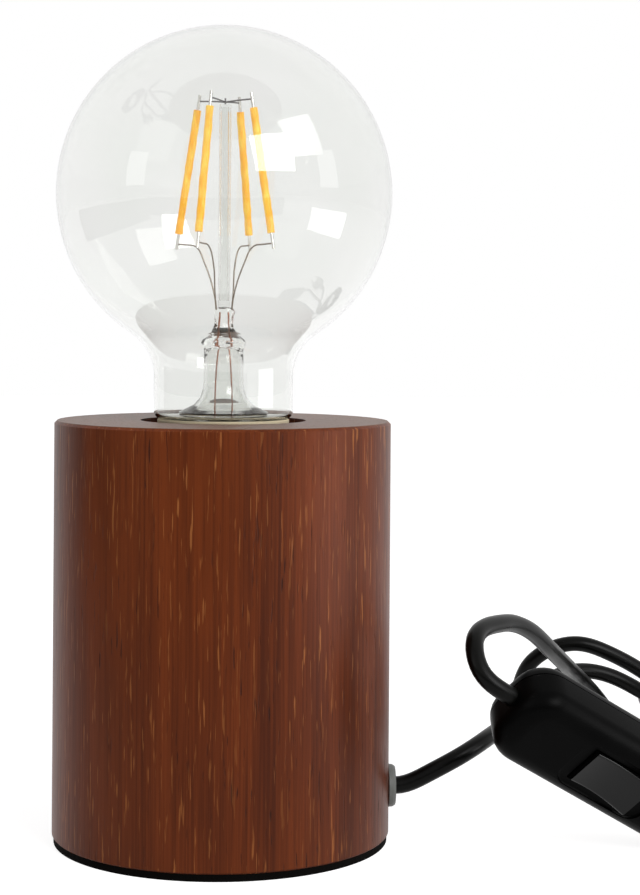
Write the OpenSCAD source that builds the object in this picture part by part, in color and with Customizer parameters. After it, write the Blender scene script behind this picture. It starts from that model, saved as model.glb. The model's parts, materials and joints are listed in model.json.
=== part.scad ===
// Bare bulb table lamp: a turned wooden cylinder with a lampholder sunk in its top,
// a globe filament bulb with an E27 screw cap, and a mains lead with an in-line
// rocker switch and a flat two-pin plug.
// Origin: centre of the base's underside. +Z is up, +X points to the cord's exit.

/* [Base] */
// Diameter of the wooden cylinder
base_d = 95; // [85:1:120]
// Height of the whole base, from the table to the wood's top
base_h = 118; // [108:1:140]
// Thickness of the soft pad under the wood
pad_t = 2; // [1:0.5:4]
// How far the pad stays inside the wood's edge
pad_inset = 0.5; // [0.2:0.1:3]
// Width of the broken edge at the wood's top
top_edge = 0.8; // [0.3:0.1:3]
// Diameter of the recess for the lampholder
recess_d = 46.8; // [45:0.2:60]
// Depth of the recess below the wood's top
recess_depth = 52; // [52:0.5:56]
// Diameter of the wiring chamber under the wood
chamber_d = 52; // [44:1:64]
// Depth of the wiring chamber above the pad
chamber_h = 26; // [22:1:32]

/* [Cord exit] */
// Diameter of the round two-core lead
cord_d = 5; // [4:0.1:5.6]
// Height of the cord's exit above the table
exit_h = 14.3; // [11:0.1:18]
// Diameter of the grommet's outer flange
grommet_flange_d = 12; // [11:0.5:16]
// Thickness of the grommet's outer flange
grommet_flange_t = 1.9; // [1:0.1:3]
// Diameter of the grommet's shank in the wood
grommet_shank_d = 8.4; // [7.6:0.1:10]
// Length of the cord stop inside the chamber
stop_len = 9; // [7:0.5:12]
// Width of the cord stop
stop_w = 16; // [14:0.5:18]
// Height of the cord stop
stop_h = 10; // [8:0.5:12]
// Diameter of the cord stop's two screws
stop_screw_d = 2.9; // [2:0.1:3.2]

/* [Lampholder] */
// Outside diameter of the holder's skirt
skirt_d = 40; // [38:0.5:42]
// Wall of the skirt and of the domed cap
holder_wall = 1.8; // [1.2:0.1:2.4]
// Depth of the skirt's rim below the wood's top
rim_drop = 5.6; // [5:0.1:8]
// Opening in the skirt's rim
rim_opening_d = 28.6; // [28.2:0.1:31]
// Thickness of the screw shell's metal
shell_t = 0.5; // [0.4:0.1:1]
// Diameter of the porcelain insert
insert_d = 35; // [32:0.5:35.6]
// Height of the porcelain insert
insert_h = 9; // [7:0.5:11]
// Outside diameter of the threaded tube
nipple_d = 9.8; // [8:0.1:10]
// Bore of the threaded tube
nipple_bore_d = 7; // [5.5:0.1:7.4]
// Width across the flats of the locking nut
nut_af = 14; // [13:0.5:17]
// Thickness of the locking nut
nut_t = 3; // [2:0.5:4]
// Diameter of the washer under the nut
washer_d = 20; // [18:1:26]
// Thickness of the washer
washer_t = 1.2; // [0.8:0.2:2]

/* [Bulb] */
// Diameter of the glass globe
globe_d = 95; // [85:1:100]
// Height of the globe's centre above the neck's end
globe_rise = 63.7; // [60:0.1:70]
// Diameter of the glass neck
neck_d = 39.4; // [37:0.2:40]
// Radius of the sweep from neck to globe
neck_sweep = 14; // [8:0.5:18]
// Radius of the rounding at the neck's end
neck_round = 4; // [2:0.5:5]
// Thickness of the glass
glass_t = 1; // [0.8:0.1:1.4]
// Gap between the wood's top and the neck's end
neck_gap = 0.4; // [0.3:0.1:3]
// Outside diameter of the screw cap's shell
cap_d = 25.2; // [24.4:0.1:25.6]
// Height of the screw cap's shell
cap_h = 22; // [20:0.5:24]
// Thickness of the beige cement collar
collar_t = 1.5; // [1:0.1:2]
// Height of the cap's black insulator
insulator_h = 2.8; // [2:0.1:3.5]
// Diameter of the solder contact
tip_d = 9.6; // [7:0.1:11]
// Height of the solder contact
tip_h = 1.1; // [0.8:0.1:1.8]

/* [Filaments] */
// Width of one filament rod
filament_d = 2.2; // [1.6:0.1:3]
// Distance of the filament tops from the axis
filament_top_r = 9; // [8:0.5:12]
// Distance of the filament feet from the axis
filament_foot_r = 14.9; // [12:0.1:20]
// Height of the filament tops above the neck's end
filament_top_z = 87.7; // [80:0.1:92]
// Height of the filament feet above the neck's end
filament_foot_z = 52.5; // [46:0.1:58]
// Turn of the four filaments about the axis
filament_turn = 61.5; // [50:0.5:70]
// Length of the metal tab on each end
tab_len = 4.8; // [4:0.1:6]
// Thickness of the support wires
wire_d = 0.8; // [0.6:0.1:1.2]
// Outside diameter of the glass centre tube
rod_d = 3.4; // [2.6:0.1:4.5]
// Height of the centre tube's top above the neck's end
rod_top_z = 90; // [88:0.5:96]
// Height of the pinch's top above the neck's end
pinch_top_z = 31.4; // [28:0.1:34]
// Outside diameter of the stem tube
stem_d = 11.4; // [9:0.1:14]

/* [Switch] */
// Length of the switch housing
switch_l = 70; // [68:1:82]
// Width of the switch's face
switch_w = 26; // [24:0.5:28]
// Depth of the switch from face to back
switch_t = 18; // [17:0.5:22]
// Rounding of the face's corners
switch_corner_r = 9; // [6:0.5:10]
// Rounding of the long edges
switch_edge_r = 5; // [3:0.2:5.4]
// Wall of the housing
switch_wall = 1.8; // [1.4:0.1:2.4]
// Depth of the back cover
back_cover_t = 6; // [5:0.5:7]
// Height of the cord entries above the housing's lower edge
switch_entry_h = 14.5; // [10:0.5:15]
// Length of the rocker
rocker_l = 21; // [18:0.5:24]
// Width of the rocker
rocker_w = 12; // [10:0.5:13]
// Half of the rocker's full travel, in degrees
rocker_tilt = 7; // [5:0.5:9]
// Diameter of the rocker's trunnions
trunnion_d = 3; // [2.4:0.1:3.4]
// Running clearance of a trunnion in its bore
trunnion_fit = 0.05; // [0.03:0.01:0.1]

/* [Plug] */
// Length of the plug's body
plug_l = 36; // [34:0.5:40]
// Width of the plug's body
plug_w = 26; // [24:0.5:28]
// Thickness of the plug's body
plug_t = 13.6; // [12:0.2:14]
// Length of the plug's tapered tail
plug_tail_l = 15; // [12:1:20]
// Diameter of a plug pin
pin_d = 4; // [3.8:0.1:4.2]
// Length of a plug pin
pin_l = 19; // [18:0.5:20]
// Distance between the pins
pin_spacing = 18.6; // [17.5:0.1:19]

/* [Coil] */
// Gap between neighbouring turns of the coil
turn_gap = 0.6; // [0.5:0.1:0.8]
// Radius of the coil's outermost turn
coil_r = 32.5; // [30:0.5:35]
// Width of the strap round the coil
tie_w = 8; // [6:0.5:12]
// Thickness of the strap
tie_t = 1; // [0.8:0.1:1.5]

/* [Hidden] */
$fn = 64;
// clearance of pieces that only have to pass each other
play = 0.15;
// clearance of a piece that rests beside its seat
seat = 0.3;
thread_gap = 0.3;

// Heights of the base
wood_top = base_h;
recess_floor = base_h - recess_depth;
chamber_top = pad_t + chamber_h;
base_r = base_d / 2;
chamber_r = chamber_d / 2;
cord_r = cord_d / 2;
exit_x = base_r + grommet_flange_t;

// Cord stop in the chamber
stop_out = sqrt(chamber_r * chamber_r - stop_w * stop_w / 4) - seat;
stop_screw_y = (stop_w + cord_d) / 4 + 0.25;
core_d = 1.8;
core_y = 1.25;
sheath_end = stop_out - stop_len - 3;

// Heights of the bulb, from the wood's top down
bulb_z = wood_top + neck_gap;
cap_top = bulb_z - collar_t;
cap_foot = cap_top - cap_h;
tip_z = cap_foot - insulator_h - tip_h;
cap_foot_r = cap_d / 2 - 3.2;
insulator_top = cap_foot + 1.2;
board_foot = insulator_top + seat;
board_top = cap_foot + 17;
board_t = 1.6;
lead_x = 2.4;

// Lampholder
rim_z = wood_top - rim_drop;
shell_r = cap_d / 2 + thread_gap;
contact_t = 0.6;
insert_top = tip_z - seat - contact_t;
insert_foot = insert_top - insert_h;
skirt_r = skirt_d / 2;
skirt_foot = insert_foot - 2;
shell_top = rim_z - 2 - seat;
cap_neck_r = skirt_r - holder_wall - play;
dome_foot = recess_floor;
dome_foot_r = 11;
terminal_h = 6;
terminal_y = 9;
terminal_w = 5;
nipple_r = nipple_d / 2;
nipple_top = dome_foot + 6;
nipple_foot = chamber_top - washer_t - nut_t - 2;

// Bulb profile
globe_r = globe_d / 2;
neck_r = neck_d / 2;
mouth_r = 12.5;
sweep_x = neck_r + neck_sweep;
sweep_z = globe_rise - sqrt(pow(globe_r + neck_sweep, 2) - pow(sweep_x, 2));
sweep_angle = atan2(globe_rise - sweep_z, sweep_x);
flare_r = mouth_r + 1.2;
stem_top = pinch_top_z - 8.2;
pinch_w = 5.7;
pinch_t = 3.2;
rod_foot = pinch_top_z - 0.6;
tube_top = rod_top_z - rod_d / 2 + 0.6;
// where the four support wires stand on the pinch, beside the centre tube
support_foot = [2.4, 0.8, pinch_top_z + wire_d * 0.55];

// Switch pose: down on its right end, its left end held up by the stiff cord
switch_yaw = -21;
switch_pitch = 30;
switch_lean = 38.5;
switch_pos = [69, -31, 36.5];
rocker_r = rocker_l / 2;
rocker_play = 0.3;
rocker_face = 3.4;
rocker_pivot_y = -switch_t / 2 + rocker_face;
rocker_mid_x = switch_l / 2 + 1;
rocker_mid_z = switch_w / 2 - 0.5;
seam_y = switch_t / 2 - back_cover_t;
terminal_mid = 15;
terminal_half = 4;
switch_screw_z = switch_w / 2 - 5;
sheath_in = 10;

// Plug
plug_pos = [186, 46, 7];

// Coil: four layers that spiral in and out again
coil_centre = [181, 132.5];
coil_layers = 4;
coil_turns = 5.75;
coil_step = cord_d + turn_gap;
layer_turns = coil_turns / coil_layers;
coil_start = 270;
coil_in_r = coil_r - coil_step * layer_turns;
rings_per_turn = 24;
coil_rings = round(coil_turns * rings_per_turn);
tie_angle = 45;
tie_box_r = [coil_in_r - cord_r - seat, coil_r + cord_r + seat];
tie_box_h = (coil_layers - 1) * coil_step + cord_d + seat;

// Route of the lead from the lamp's exit to the switch's right end, without these two points
lamp_route = [
    [59, 0.5, 17.5], [67.5, 2.5, 21.5], [75, 8.5, 24.5], [80, 17, 25.5],
    [84, 26, 25.5], [87, 35.5, 25.5], [90, 45, 26], [94, 54, 27], [98, 63, 28],
    [103.5, 71.5, 30], [109.5, 79, 31.5], [118, 84.5, 32], [127.5, 86, 30], [136, 84.5, 26],
    [144.5, 80, 21], [151, 73, 16], [156, 65, 11.5], [159, 56, 7.5], [160.5, 46.5, 4.5],
    [161, 37, 3], [161, 27.5, 2.5], [161, 18, 2.5], [161, 8.5, 2.5], [159.5, 0.5, 2.5],
    [155, -6, 3], [148, -10.5, 4.3], [141.5, -13, 7]
];
// Route from the switch's left end over two loops to the coil
loop_route = [
    [70, -37.5, 52], [68, -32, 59.5], [71.5, -23.5, 62.5], [76.5, -15.5, 62.5],
    [81.5, -7.5, 61.5], [86.5, 0, 59], [91, 7.5, 55.5], [95, 15, 51.5], [98.5, 23, 48],
    [102, 31, 44.5], [105, 39.5, 41.5], [107.5, 48, 39], [110.5, 56, 36], [113.5, 64.5, 33],
    [117.5, 72, 29], [122, 79, 24], [127, 84, 17.5], [131.5, 89.5, 11], [135, 97, 5.5],
    [136, 107, 2.5], [131, 116, 2.5], [122.5, 121, 2.6], [113, 121, 4.5], [105.5, 117, 9], [101, 111, 16],
    [100.5, 105, 24], [103, 100.5, 31.5], [109.5, 97.5, 37], [118.5, 96, 39], [128.5, 96, 36],
    [138, 97, 31], [147, 98.5, 25.5], [156, 99.5, 22], [165.5, 100, 20], [176, 100, 19.3]
];
// Route from the coil to the plug's tail
plug_route = [
    [148.5, 127.5, 2.5], [148.5, 117, 2.5], [150, 106.5, 2.5], [153.5, 96.5, 2.5],
    [159, 87.5, 2.5], [166, 80, 2.5], [173.5, 73, 2.5], [180, 65.5, 2.5], [184.5, 56.5, 4.5],
    [186, 46, 7]
];
route_sides = 10;
coil_sides = 6;

// ---------- Shared shapes ----------

function unit(v) = v / norm(v);
// direction of a route at point i: the mean of the stretches on both sides
function heading(p, i, first, last) =
    i == 0 ? first : i == len(p) - 1 ? last
    : unit(unit(p[i] - p[i - 1]) + unit(p[i + 1] - p[i]));
// one ring of points square to the direction d
function ring(c, d, r, sides, turn) =
    let (side = unit(cross(d, [0, 0, 1])), up = cross(side, d))
    [for (k = [0:sides - 1]) let (a = 360 * k / sides + turn) c + r * (cos(a) * side + sin(a) * up)];

// closed tube through rings of points
module ring_tube(rings, sides) {
    n = len(rings);
    points = [for (r = rings) each r];
    walls = [
        for (i = [0:n - 2]) for (k = [0:sides - 1])
        let (a = i * sides + k, b = i * sides + (k + 1) % sides)
        each [[a, b, b + sides], [a, b + sides, a + sides]]
    ];
    start = [for (k = [1:sides - 2]) [0, k + 1, k]];
    tail = (n - 1) * sides;
    end = [for (k = [1:sides - 2]) [tail, tail + k, tail + k + 1]];
    polyhedron(points, concat(walls, start, end), convexity = 10);
}

module route_tube(p, first, last) {
    rings = [for (i = [0:len(p) - 1]) ring(p[i], heading(p, i, first, last), cord_r, route_sides, 0)];
    ring_tube(rings, route_sides);
}

// round bar between two points
module bar(a, b, d) {
    v = b - a;
    translate(a) rotate([0, acos(v.z / norm(v)), atan2(v.y, v.x)]) cylinder(h = norm(v), d = d, $fn = 24);
}

// bent wire through a list of points, with a slightly fuller ball at each bend
module wire(points, d) {
    for (i = [0:len(points) - 2]) bar(points[i], points[i + 1], d);
    for (p = points) translate(p) sphere(d = d * 1.06, $fn = 24);
}

// rectangle with round corners, centred
module round_rect(size, r) {
    square([size.x - 2 * r, size.y], center = true);
    square([size.x, size.y - 2 * r], center = true);
    for (x = [-1, 1]) for (y = [-1, 1])
        translate([x * (size.x / 2 - r), y * (size.y / 2 - r)]) circle(r = r, $fn = 48);
}

// ---------- Base ----------

module wood_base() color("saddlebrown") difference() {
    rotate_extrude($fn = 128) polygon([
        [0, pad_t], [base_r - top_edge / 2, pad_t], [base_r, pad_t + top_edge / 2],
        [base_r, wood_top - top_edge], [base_r - top_edge, wood_top], [0, wood_top]
    ]);
    translate([0, 0, recess_floor]) cylinder(h = recess_depth + 1, d = recess_d, $fn = 96);
    translate([0, 0, pad_t - 1]) cylinder(h = chamber_h + 1, r = chamber_r, $fn = 96);
    cylinder(h = recess_floor + 1, d = nipple_d + 2 * play);
    translate([chamber_r - 6, 0, exit_h]) rotate([0, 90, 0])
        cylinder(h = base_r - chamber_r + 10, d = grommet_shank_d + 2 * play);
}

module base_pad() color("dimgray")
    cylinder(h = pad_t, r = base_r - pad_inset, $fn = 128);

module cord_grommet() color("darkgray") translate([0, 0, exit_h]) rotate([0, 90, 0])
    rotate_extrude() polygon([
        [cord_r + play, chamber_r - 1], [grommet_shank_d / 2 - 0.4, chamber_r - 1],
        [grommet_shank_d / 2, chamber_r], [grommet_shank_d / 2, base_r],
        [grommet_flange_d / 2, base_r], [grommet_flange_d / 2 - 0.1, base_r + grommet_flange_t * 0.6],
        [grommet_flange_d / 2 - 0.6, exit_x], [cord_r + play, exit_x]
    ]);

module cord_stop() color("gainsboro") difference() {
    translate([stop_out - stop_len, -stop_w / 2, exit_h - stop_h / 2]) cube([stop_len, stop_w, stop_h]);
    translate([0, 0, exit_h]) rotate([0, 90, 0]) cylinder(h = stop_out + 1, r = cord_r + play);
    for (y = [-1, 1]) translate([stop_out - stop_len / 2, y * stop_screw_y, exit_h - stop_h / 2 - 1])
        cylinder(h = stop_h + 2, d = stop_screw_d + play);
}

module cord_stop_screws() color("silver")
    for (y = [-1, 1]) translate([stop_out - stop_len / 2, y * stop_screw_y, exit_h - stop_h / 2]) {
        cylinder(h = stop_h + 0.2, d = stop_screw_d);
        translate([0, 0, stop_h]) cylinder(h = 1.6, d = stop_screw_d + 2);
    }

// the lead's last stretch: its sheath through the grommet and the stop, then its two cores
module inner_lead() color("dimgray") {
    translate([sheath_end, 0, exit_h]) rotate([0, 90, 0]) cylinder(h = exit_x - sheath_end, r = cord_r);
    for (s = [-1, 1]) wire([
        [sheath_end + 1, s * core_y, exit_h], [3, s * core_y, exit_h + 1], [0, s * core_y, exit_h + 4],
        [0, s * core_y, nipple_top + 2], [0, s * terminal_y, insert_foot - terminal_h - 1.5],
        [0, s * terminal_y, insert_foot - terminal_h]
    ], core_d);
}

// ---------- Lampholder ----------

module holder_nipple() color("goldenrod") translate([0, 0, nipple_foot]) difference() {
    cylinder(h = nipple_top - nipple_foot, r = nipple_r);
    translate([0, 0, -1]) cylinder(h = nipple_top - nipple_foot + 2, d = nipple_bore_d);
}

module nipple_washer() color("silver") translate([0, 0, chamber_top - washer_t]) difference() {
    cylinder(h = washer_t, d = washer_d);
    translate([0, 0, -1]) cylinder(h = washer_t + 2, d = nipple_d + 2 * play);
}

module nipple_nut() color("goldenrod") translate([0, 0, chamber_top - washer_t - nut_t]) difference() {
    cylinder(h = nut_t, d = nut_af / cos(30), $fn = 6);
    translate([0, 0, -1]) cylinder(h = nut_t + 2, d = nipple_d + 2 * play);
}

// domed lower half of the holder, clamped to the recess's floor by the threaded tube
module holder_cap() color("#202020") rotate_extrude() polygon([
    [nipple_r + play, dome_foot], [dome_foot_r, dome_foot], [dome_foot_r + 1, dome_foot + 1],
    [cap_neck_r - 2, skirt_foot - 8], [cap_neck_r + 1, skirt_foot - 4],
    [skirt_r - 0.2, skirt_foot - 2], [skirt_r - 0.2, skirt_foot - seat],
    [cap_neck_r, skirt_foot - seat], [cap_neck_r, insert_foot],
    [cap_neck_r - holder_wall, insert_foot], [cap_neck_r - holder_wall, skirt_foot - 5],
    [dome_foot_r - 1, dome_foot + 3], [nipple_r + play, dome_foot + 3]
]);

module holder_insert() color("whitesmoke") difference() {
    translate([0, 0, insert_foot]) cylinder(h = insert_h, d = insert_d);
    for (s = [-1, 1]) translate([0, s * terminal_y, insert_foot - 1]) cylinder(h = 4, d = 3.6);
    translate([0, 0, insert_foot - 1]) cylinder(h = insert_h + 2, d = 3.2);
    for (x = [-1, 1]) translate([x * 13, 0, insert_foot - 1]) cylinder(h = insert_h + 2, d = 3);
}

module holder_screw_shell() color("gold") rotate_extrude() polygon([
    [shell_r, insert_top + shell_t], [shell_r - 3, insert_top + shell_t], [shell_r - 3, insert_top],
    [shell_r + shell_t, insert_top], [shell_r + shell_t, shell_top], [shell_r, shell_top]
]);

module holder_skirt() color("#202020") rotate_extrude() polygon([
    [rim_opening_d / 2, rim_z - 2], [rim_opening_d / 2, rim_z - 0.6], [rim_opening_d / 2 + 0.6, rim_z],
    [skirt_r - 1.6, rim_z], [skirt_r - 0.4, rim_z - 0.4], [skirt_r, rim_z - 1.6],
    [skirt_r, skirt_foot], [skirt_r - holder_wall, skirt_foot], [skirt_r - holder_wall, rim_z - 2]
]);

module holder_centre_contact() color("gold") {
    translate([-3, -3, insert_top]) cube([10, 6, contact_t]);
    translate([0, 0, insert_foot - 1]) cylinder(h = insert_h + 1.2, d = 2.6);
}

module holder_terminals() color("gold") for (s = [-1, 1]) difference() {
    union() {
        translate([-terminal_w / 2, s * terminal_y - terminal_w / 2, insert_foot - terminal_h])
            cube([terminal_w, terminal_w, terminal_h]);
        translate([0, s * terminal_y, insert_foot - 0.2]) cylinder(h = 3, d = 3);
    }
    translate([0, s * terminal_y, insert_foot - terminal_h - 1]) cylinder(h = 4.2, d = core_d + 2 * play);
    translate([0, s * terminal_y, insert_foot - terminal_h / 2]) rotate([0, 90, 0]) cylinder(h = 4, d = 2.2);
}

module terminal_screws() color("silver")
    for (s = [-1, 1]) translate([1.2, s * terminal_y, insert_foot - terminal_h / 2]) rotate([0, 90, 0]) {
        cylinder(h = 2, d = 2);
        translate([0, 0, 1.3]) cylinder(h = 1.2, d = 3.6);
    }

// ---------- Bulb, from the neck's end at bulb_z ----------

function arc(cx, cz, r, from, to, steps) =
    [for (i = [0:steps]) let (a = from + (to - from) * i / steps) [cx + r * cos(a), cz + r * sin(a)]];

// solid of the globe and neck, drawn in by t all round
module globe_form(t) {
    rotate_extrude($fn = 96) difference() {
        union() {
            translate([0, globe_rise]) circle(r = globe_r - t, $fn = 160);
            polygon([
                [0, t], [neck_r - neck_round, t], [neck_r - t, neck_round], [neck_r - t, sweep_z],
                [(globe_r - t) * cos(sweep_angle), globe_rise - (globe_r - t) * sin(sweep_angle)],
                [0, globe_rise]
            ]);
            translate([neck_r - neck_round, neck_round]) circle(r = neck_round - t, $fn = 48);
        }
        translate([sweep_x, sweep_z]) circle(r = neck_sweep + t, $fn = 96);
        translate([-200, -1]) square([200, 300]);
    }
}

module bulb_glass() color("lightcyan", 0.3) translate([0, 0, bulb_z]) difference() {
    globe_form(0);
    globe_form(glass_t);
    translate([0, 0, -1]) cylinder(h = glass_t + 2, r = mouth_r);
}

// flare, stem tube, crumpled shoulder and pinch, as one piece of glass
module bulb_stem() color("lightcyan", 0.5) translate([0, 0, bulb_z]) {
    difference() {
        union() {
            rotate_extrude() polygon([
                [0, glass_t], [flare_r, glass_t], [flare_r, glass_t + 0.8], [stem_d / 2 + 1.4, glass_t + 2.6],
                [stem_d / 2, glass_t + 6], [stem_d / 2, stem_top - 2],
                [stem_d / 2 + 1, stem_top + 0.4], [stem_d / 2, stem_top + 2.4], [0, stem_top + 3.4]
            ]);
            translate([-pinch_w / 2, -pinch_t / 2, stem_top]) cube([pinch_w, pinch_t, pinch_top_z - stem_top]);
        }
        translate([0, 0, -1]) cylinder(h = stem_top + 0.5, d = stem_d - 2);
        translate([0, 0, rod_foot]) cylinder(h = 3, d = rod_d - 0.8);
    }
}

module bulb_centre_tube() color("lightcyan", 0.5) translate([0, 0, bulb_z + pinch_top_z]) difference() {
    cylinder(h = tube_top - pinch_top_z, d = rod_d, $fn = 32);
    translate([0, 0, 2]) cylinder(h = tube_top - pinch_top_z - 2.8, d = rod_d - 1.2, $fn = 32);
}

function filament_angle(i) = filament_turn + 90 * i;
function polar(r, a, z) = [r * cos(a), r * sin(a), z];
function filament_top(i) = polar(filament_top_r, filament_angle(i), filament_top_z);
function filament_foot(i) = polar(filament_foot_r, filament_angle(i), filament_foot_z);
function filament_dir(i) = unit(filament_top(i) - filament_foot(i));

module led_filament(i) color("gold") translate([0, 0, bulb_z])
    bar(filament_foot(i), filament_top(i), filament_d);

module led_filament_1() led_filament(0);
module led_filament_2() led_filament(1);
module led_filament_3() led_filament(2);
module led_filament_4() led_filament(3);

// the flat metal end of every filament, four above and four below
module filament_tabs() color("silver") translate([0, 0, bulb_z])
    for (i = [0:3]) for (up = [true, false]) {
        at = up ? filament_top(i) : filament_foot(i);
        d = filament_dir(i) * (up ? 1 : -1);
        bar(at, at + d * tab_len, wire_d + 0.2);
    }

// from the centre tube's top out to each upper tab
module top_link_wires() color("silver") translate([0, 0, bulb_z]) {
    translate([0, 0, tube_top]) cylinder(h = 1.4, d = rod_d, $fn = 32);
    for (i = [0:3]) {
        joint = filament_top(i) + filament_dir(i) * 2.4;
        out = polar(norm([joint.x, joint.y]) - 0.9, filament_angle(i), joint.z);
        wire([[0, 0, tube_top + 0.7], out], wire_d);
    }
}

// four wires that rise from the pinch and hold the filament feet
module support_wires() color("silver") translate([0, 0, bulb_z])
    for (i = [0:3]) {
        a = filament_angle(i);
        foot = filament_foot(i) - filament_dir(i) * 3;
        reach = norm([foot.x, foot.y]) - 0.95;
        wire([
            [sign(cos(a)) * support_foot.x, sign(sin(a)) * support_foot.y, support_foot.z],
            polar(7, a, foot.z - 5), polar(9, a, foot.z - 1), polar(reach, a, foot.z)
        ], wire_d);
    }

// the two leads below the pinch, inside the stem tube
module lead_wires() color("tan") translate([0, 0, bulb_z])
    for (s = [-1, 1]) wire([
        [s, 0, stem_top - 1], [s * lead_x, 0, 8],
        [s * lead_x, 0, board_top - bulb_z + wire_d * 0.6]
    ], wire_d);

// small circuit board that stands on the insulator, with its two largest components
module bulb_driver() color("darkgreen") {
    translate([-6.5, -board_t / 2, board_foot]) cube([13, board_t, board_top - board_foot]);
    translate([-4.5, board_t / 2 - 0.1, cap_foot + 8]) cube([5, 4.5, 6]);
    translate([3.4, board_t / 2 - 0.1, cap_foot + 6]) cylinder(h = 8, d = 5);
}

// beige collar between glass and cap, with its plug inside the cap
module bulb_cement() color("wheat") rotate_extrude() polygon([
    [9, cap_top - 3], [cap_d / 2 - shell_t - play, cap_top - 3], [cap_d / 2 - shell_t - play, cap_top],
    [neck_r - neck_round + 1, cap_top], [neck_r - neck_round + 1.4, cap_top + 0.6],
    [neck_r - neck_round, bulb_z], [9, bulb_z]
]);

module bulb_cap_shell() color("silver") rotate_extrude() polygon([
    [cap_d / 2, cap_top], [cap_d / 2, cap_foot + 2.4], [cap_foot_r, cap_foot],
    [cap_foot_r - shell_t, cap_foot], [cap_d / 2 - shell_t, cap_foot + 2.6], [cap_d / 2 - shell_t, cap_top]
]);

module bulb_cap_insulator() color("#202020") rotate_extrude() polygon([
    [0, insulator_top], [cap_foot_r - shell_t - 0.1, insulator_top], [cap_foot_r - shell_t - 0.1, cap_foot],
    [cap_foot_r, cap_foot], [cap_foot_r - 0.4, cap_foot - 0.8], [tip_d / 2 + 0.6, cap_foot - insulator_h],
    [0, cap_foot - insulator_h]
]);

module bulb_tip() color("lightgray") rotate_extrude() polygon([
    [0, tip_z], [tip_d / 2 - 2.2, tip_z + 0.1], [tip_d / 2 - 0.8, tip_z + 0.45], [tip_d / 2, tip_z + tip_h],
    [0, tip_z + tip_h]
]);

// ---------- Switch, in its own frame: x along it, y to its back, z up its face ----------

module switch_place() translate(switch_pos)
    rotate([0, 0, -switch_yaw]) rotate([0, switch_pitch, 0]) rotate([switch_lean, 0, 0]) children();

// outline of the housing, drawn in by t, as the overlap of its three round-cornered views
module housing(t) intersection() {
    l = switch_l - 2 * t;
    w = switch_w - 2 * t;
    d = switch_t - 2 * t;
    translate([switch_l / 2, switch_t / 2, switch_w / 2]) rotate([90, 0, 0])
        linear_extrude(switch_t) round_rect([l, w], switch_corner_r - t);
    translate([switch_l / 2, 0, 0]) linear_extrude(switch_w) round_rect([l, d], switch_edge_r - t / 2);
    translate([0, 0, switch_w / 2]) rotate([90, 0, 90])
        linear_extrude(switch_l) round_rect([d, w], switch_edge_r - t / 2);
}

module front_half() translate([-1, seam_y - 50, -1]) cube([switch_l + 2, 50, switch_w + 2]);
module back_half() translate([-1, seam_y, -1]) cube([switch_l + 2, 50, switch_w + 2]);

module cord_bores(d) for (x = [-1, switch_l - 6]) translate([x, 0, switch_entry_h]) rotate([0, 90, 0])
    cylinder(h = 7, d = d);

module rocker_window() {
    l = rocker_l + 2 * rocker_play;
    w = rocker_w + 2 * rocker_play;
    translate([rocker_mid_x, rocker_pivot_y + 4, rocker_mid_z]) rotate([90, 0, 0])
        linear_extrude(20) square([l, w], center = true);
    // shallow sunk surround
    translate([rocker_mid_x, -switch_t / 2 + 0.8, rocker_mid_z]) rotate([90, 0, 0])
        linear_extrude(5) round_rect([l + 5, w + 4], 4);
}

module trunnions(d, l) translate([rocker_mid_x, rocker_pivot_y, rocker_mid_z - l / 2])
    cylinder(h = l, d = d, $fn = 48);

screw_x = [9.5, switch_l - 9.5];

module switch_front_cover() color("#1c1c1c") switch_place() difference() {
    union() {
        difference() {
            intersection() {
                housing(0);
                front_half();
            }
            housing(switch_wall);
        }
        // two cheeks that carry the rocker
        for (s = [-1, 1]) translate([
            rocker_mid_x - 5, -switch_t / 2 + 1,
            rocker_mid_z + s * (rocker_w / 2 + rocker_play + 1.1) - 1.1
        ]) cube([10, 6, 2.2]);
        // screw posts
        for (x = screw_x) translate([x, -switch_t / 2 + 1, switch_screw_z]) rotate([-90, 0, 0])
            cylinder(h = seam_y + switch_t / 2 - 1, d = 5, $fn = 32);
    }
    rocker_window();
    trunnions(trunnion_d + 2 * trunnion_fit, rocker_w + 2 * rocker_play + 3.4);
    cord_bores(cord_d + 2 * play);
    for (x = screw_x) translate([x, -switch_t / 2 + 4, switch_screw_z]) rotate([-90, 0, 0])
        cylinder(h = 30, d = 2.3, $fn = 32);
}

module switch_back_cover() color("#1c1c1c") switch_place() difference() {
    intersection() {
        housing(0);
        back_half();
    }
    housing(switch_wall);
    cord_bores(cord_d + 2 * play);
    for (x = screw_x) translate([x, 0, switch_screw_z]) rotate([-90, 0, 0]) {
        cylinder(h = 30, d = 3, $fn = 32);
        translate([0, 0, switch_t / 2 - 0.9]) cylinder(h = 3, d = 5.4, $fn = 32);
    }
}

// rocker: a drum about its trunnions with two flat faces, at rest with its left end pressed in
module switch_rocker() color("#101010") switch_place()
    translate([rocker_mid_x, rocker_pivot_y, rocker_mid_z]) rotate([0, 0, -rocker_tilt]) {
        intersection() {
            translate([0, 0, -rocker_w / 2]) cylinder(h = rocker_w, r = rocker_r, $fn = 96);
            translate([0, 0, -rocker_w / 2]) linear_extrude(rocker_w) polygon([
                [-rocker_r - 1, -rocker_face - rocker_r * sin(rocker_tilt)], [0, -rocker_face],
                [rocker_r + 1, -rocker_face - rocker_r * sin(rocker_tilt)], [rocker_r + 1, 2.6],
                [-rocker_r - 1, 2.6]
            ]);
        }
        translate([0, 0, -rocker_w / 2 - 1.5]) cylinder(h = rocker_w + 3, d = trunnion_d, $fn = 48);
        translate([0, 2.5, 0]) rotate([-90, 0, 0]) cylinder(h = 2.2, d = 3, $fn = 32);
    }

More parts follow.
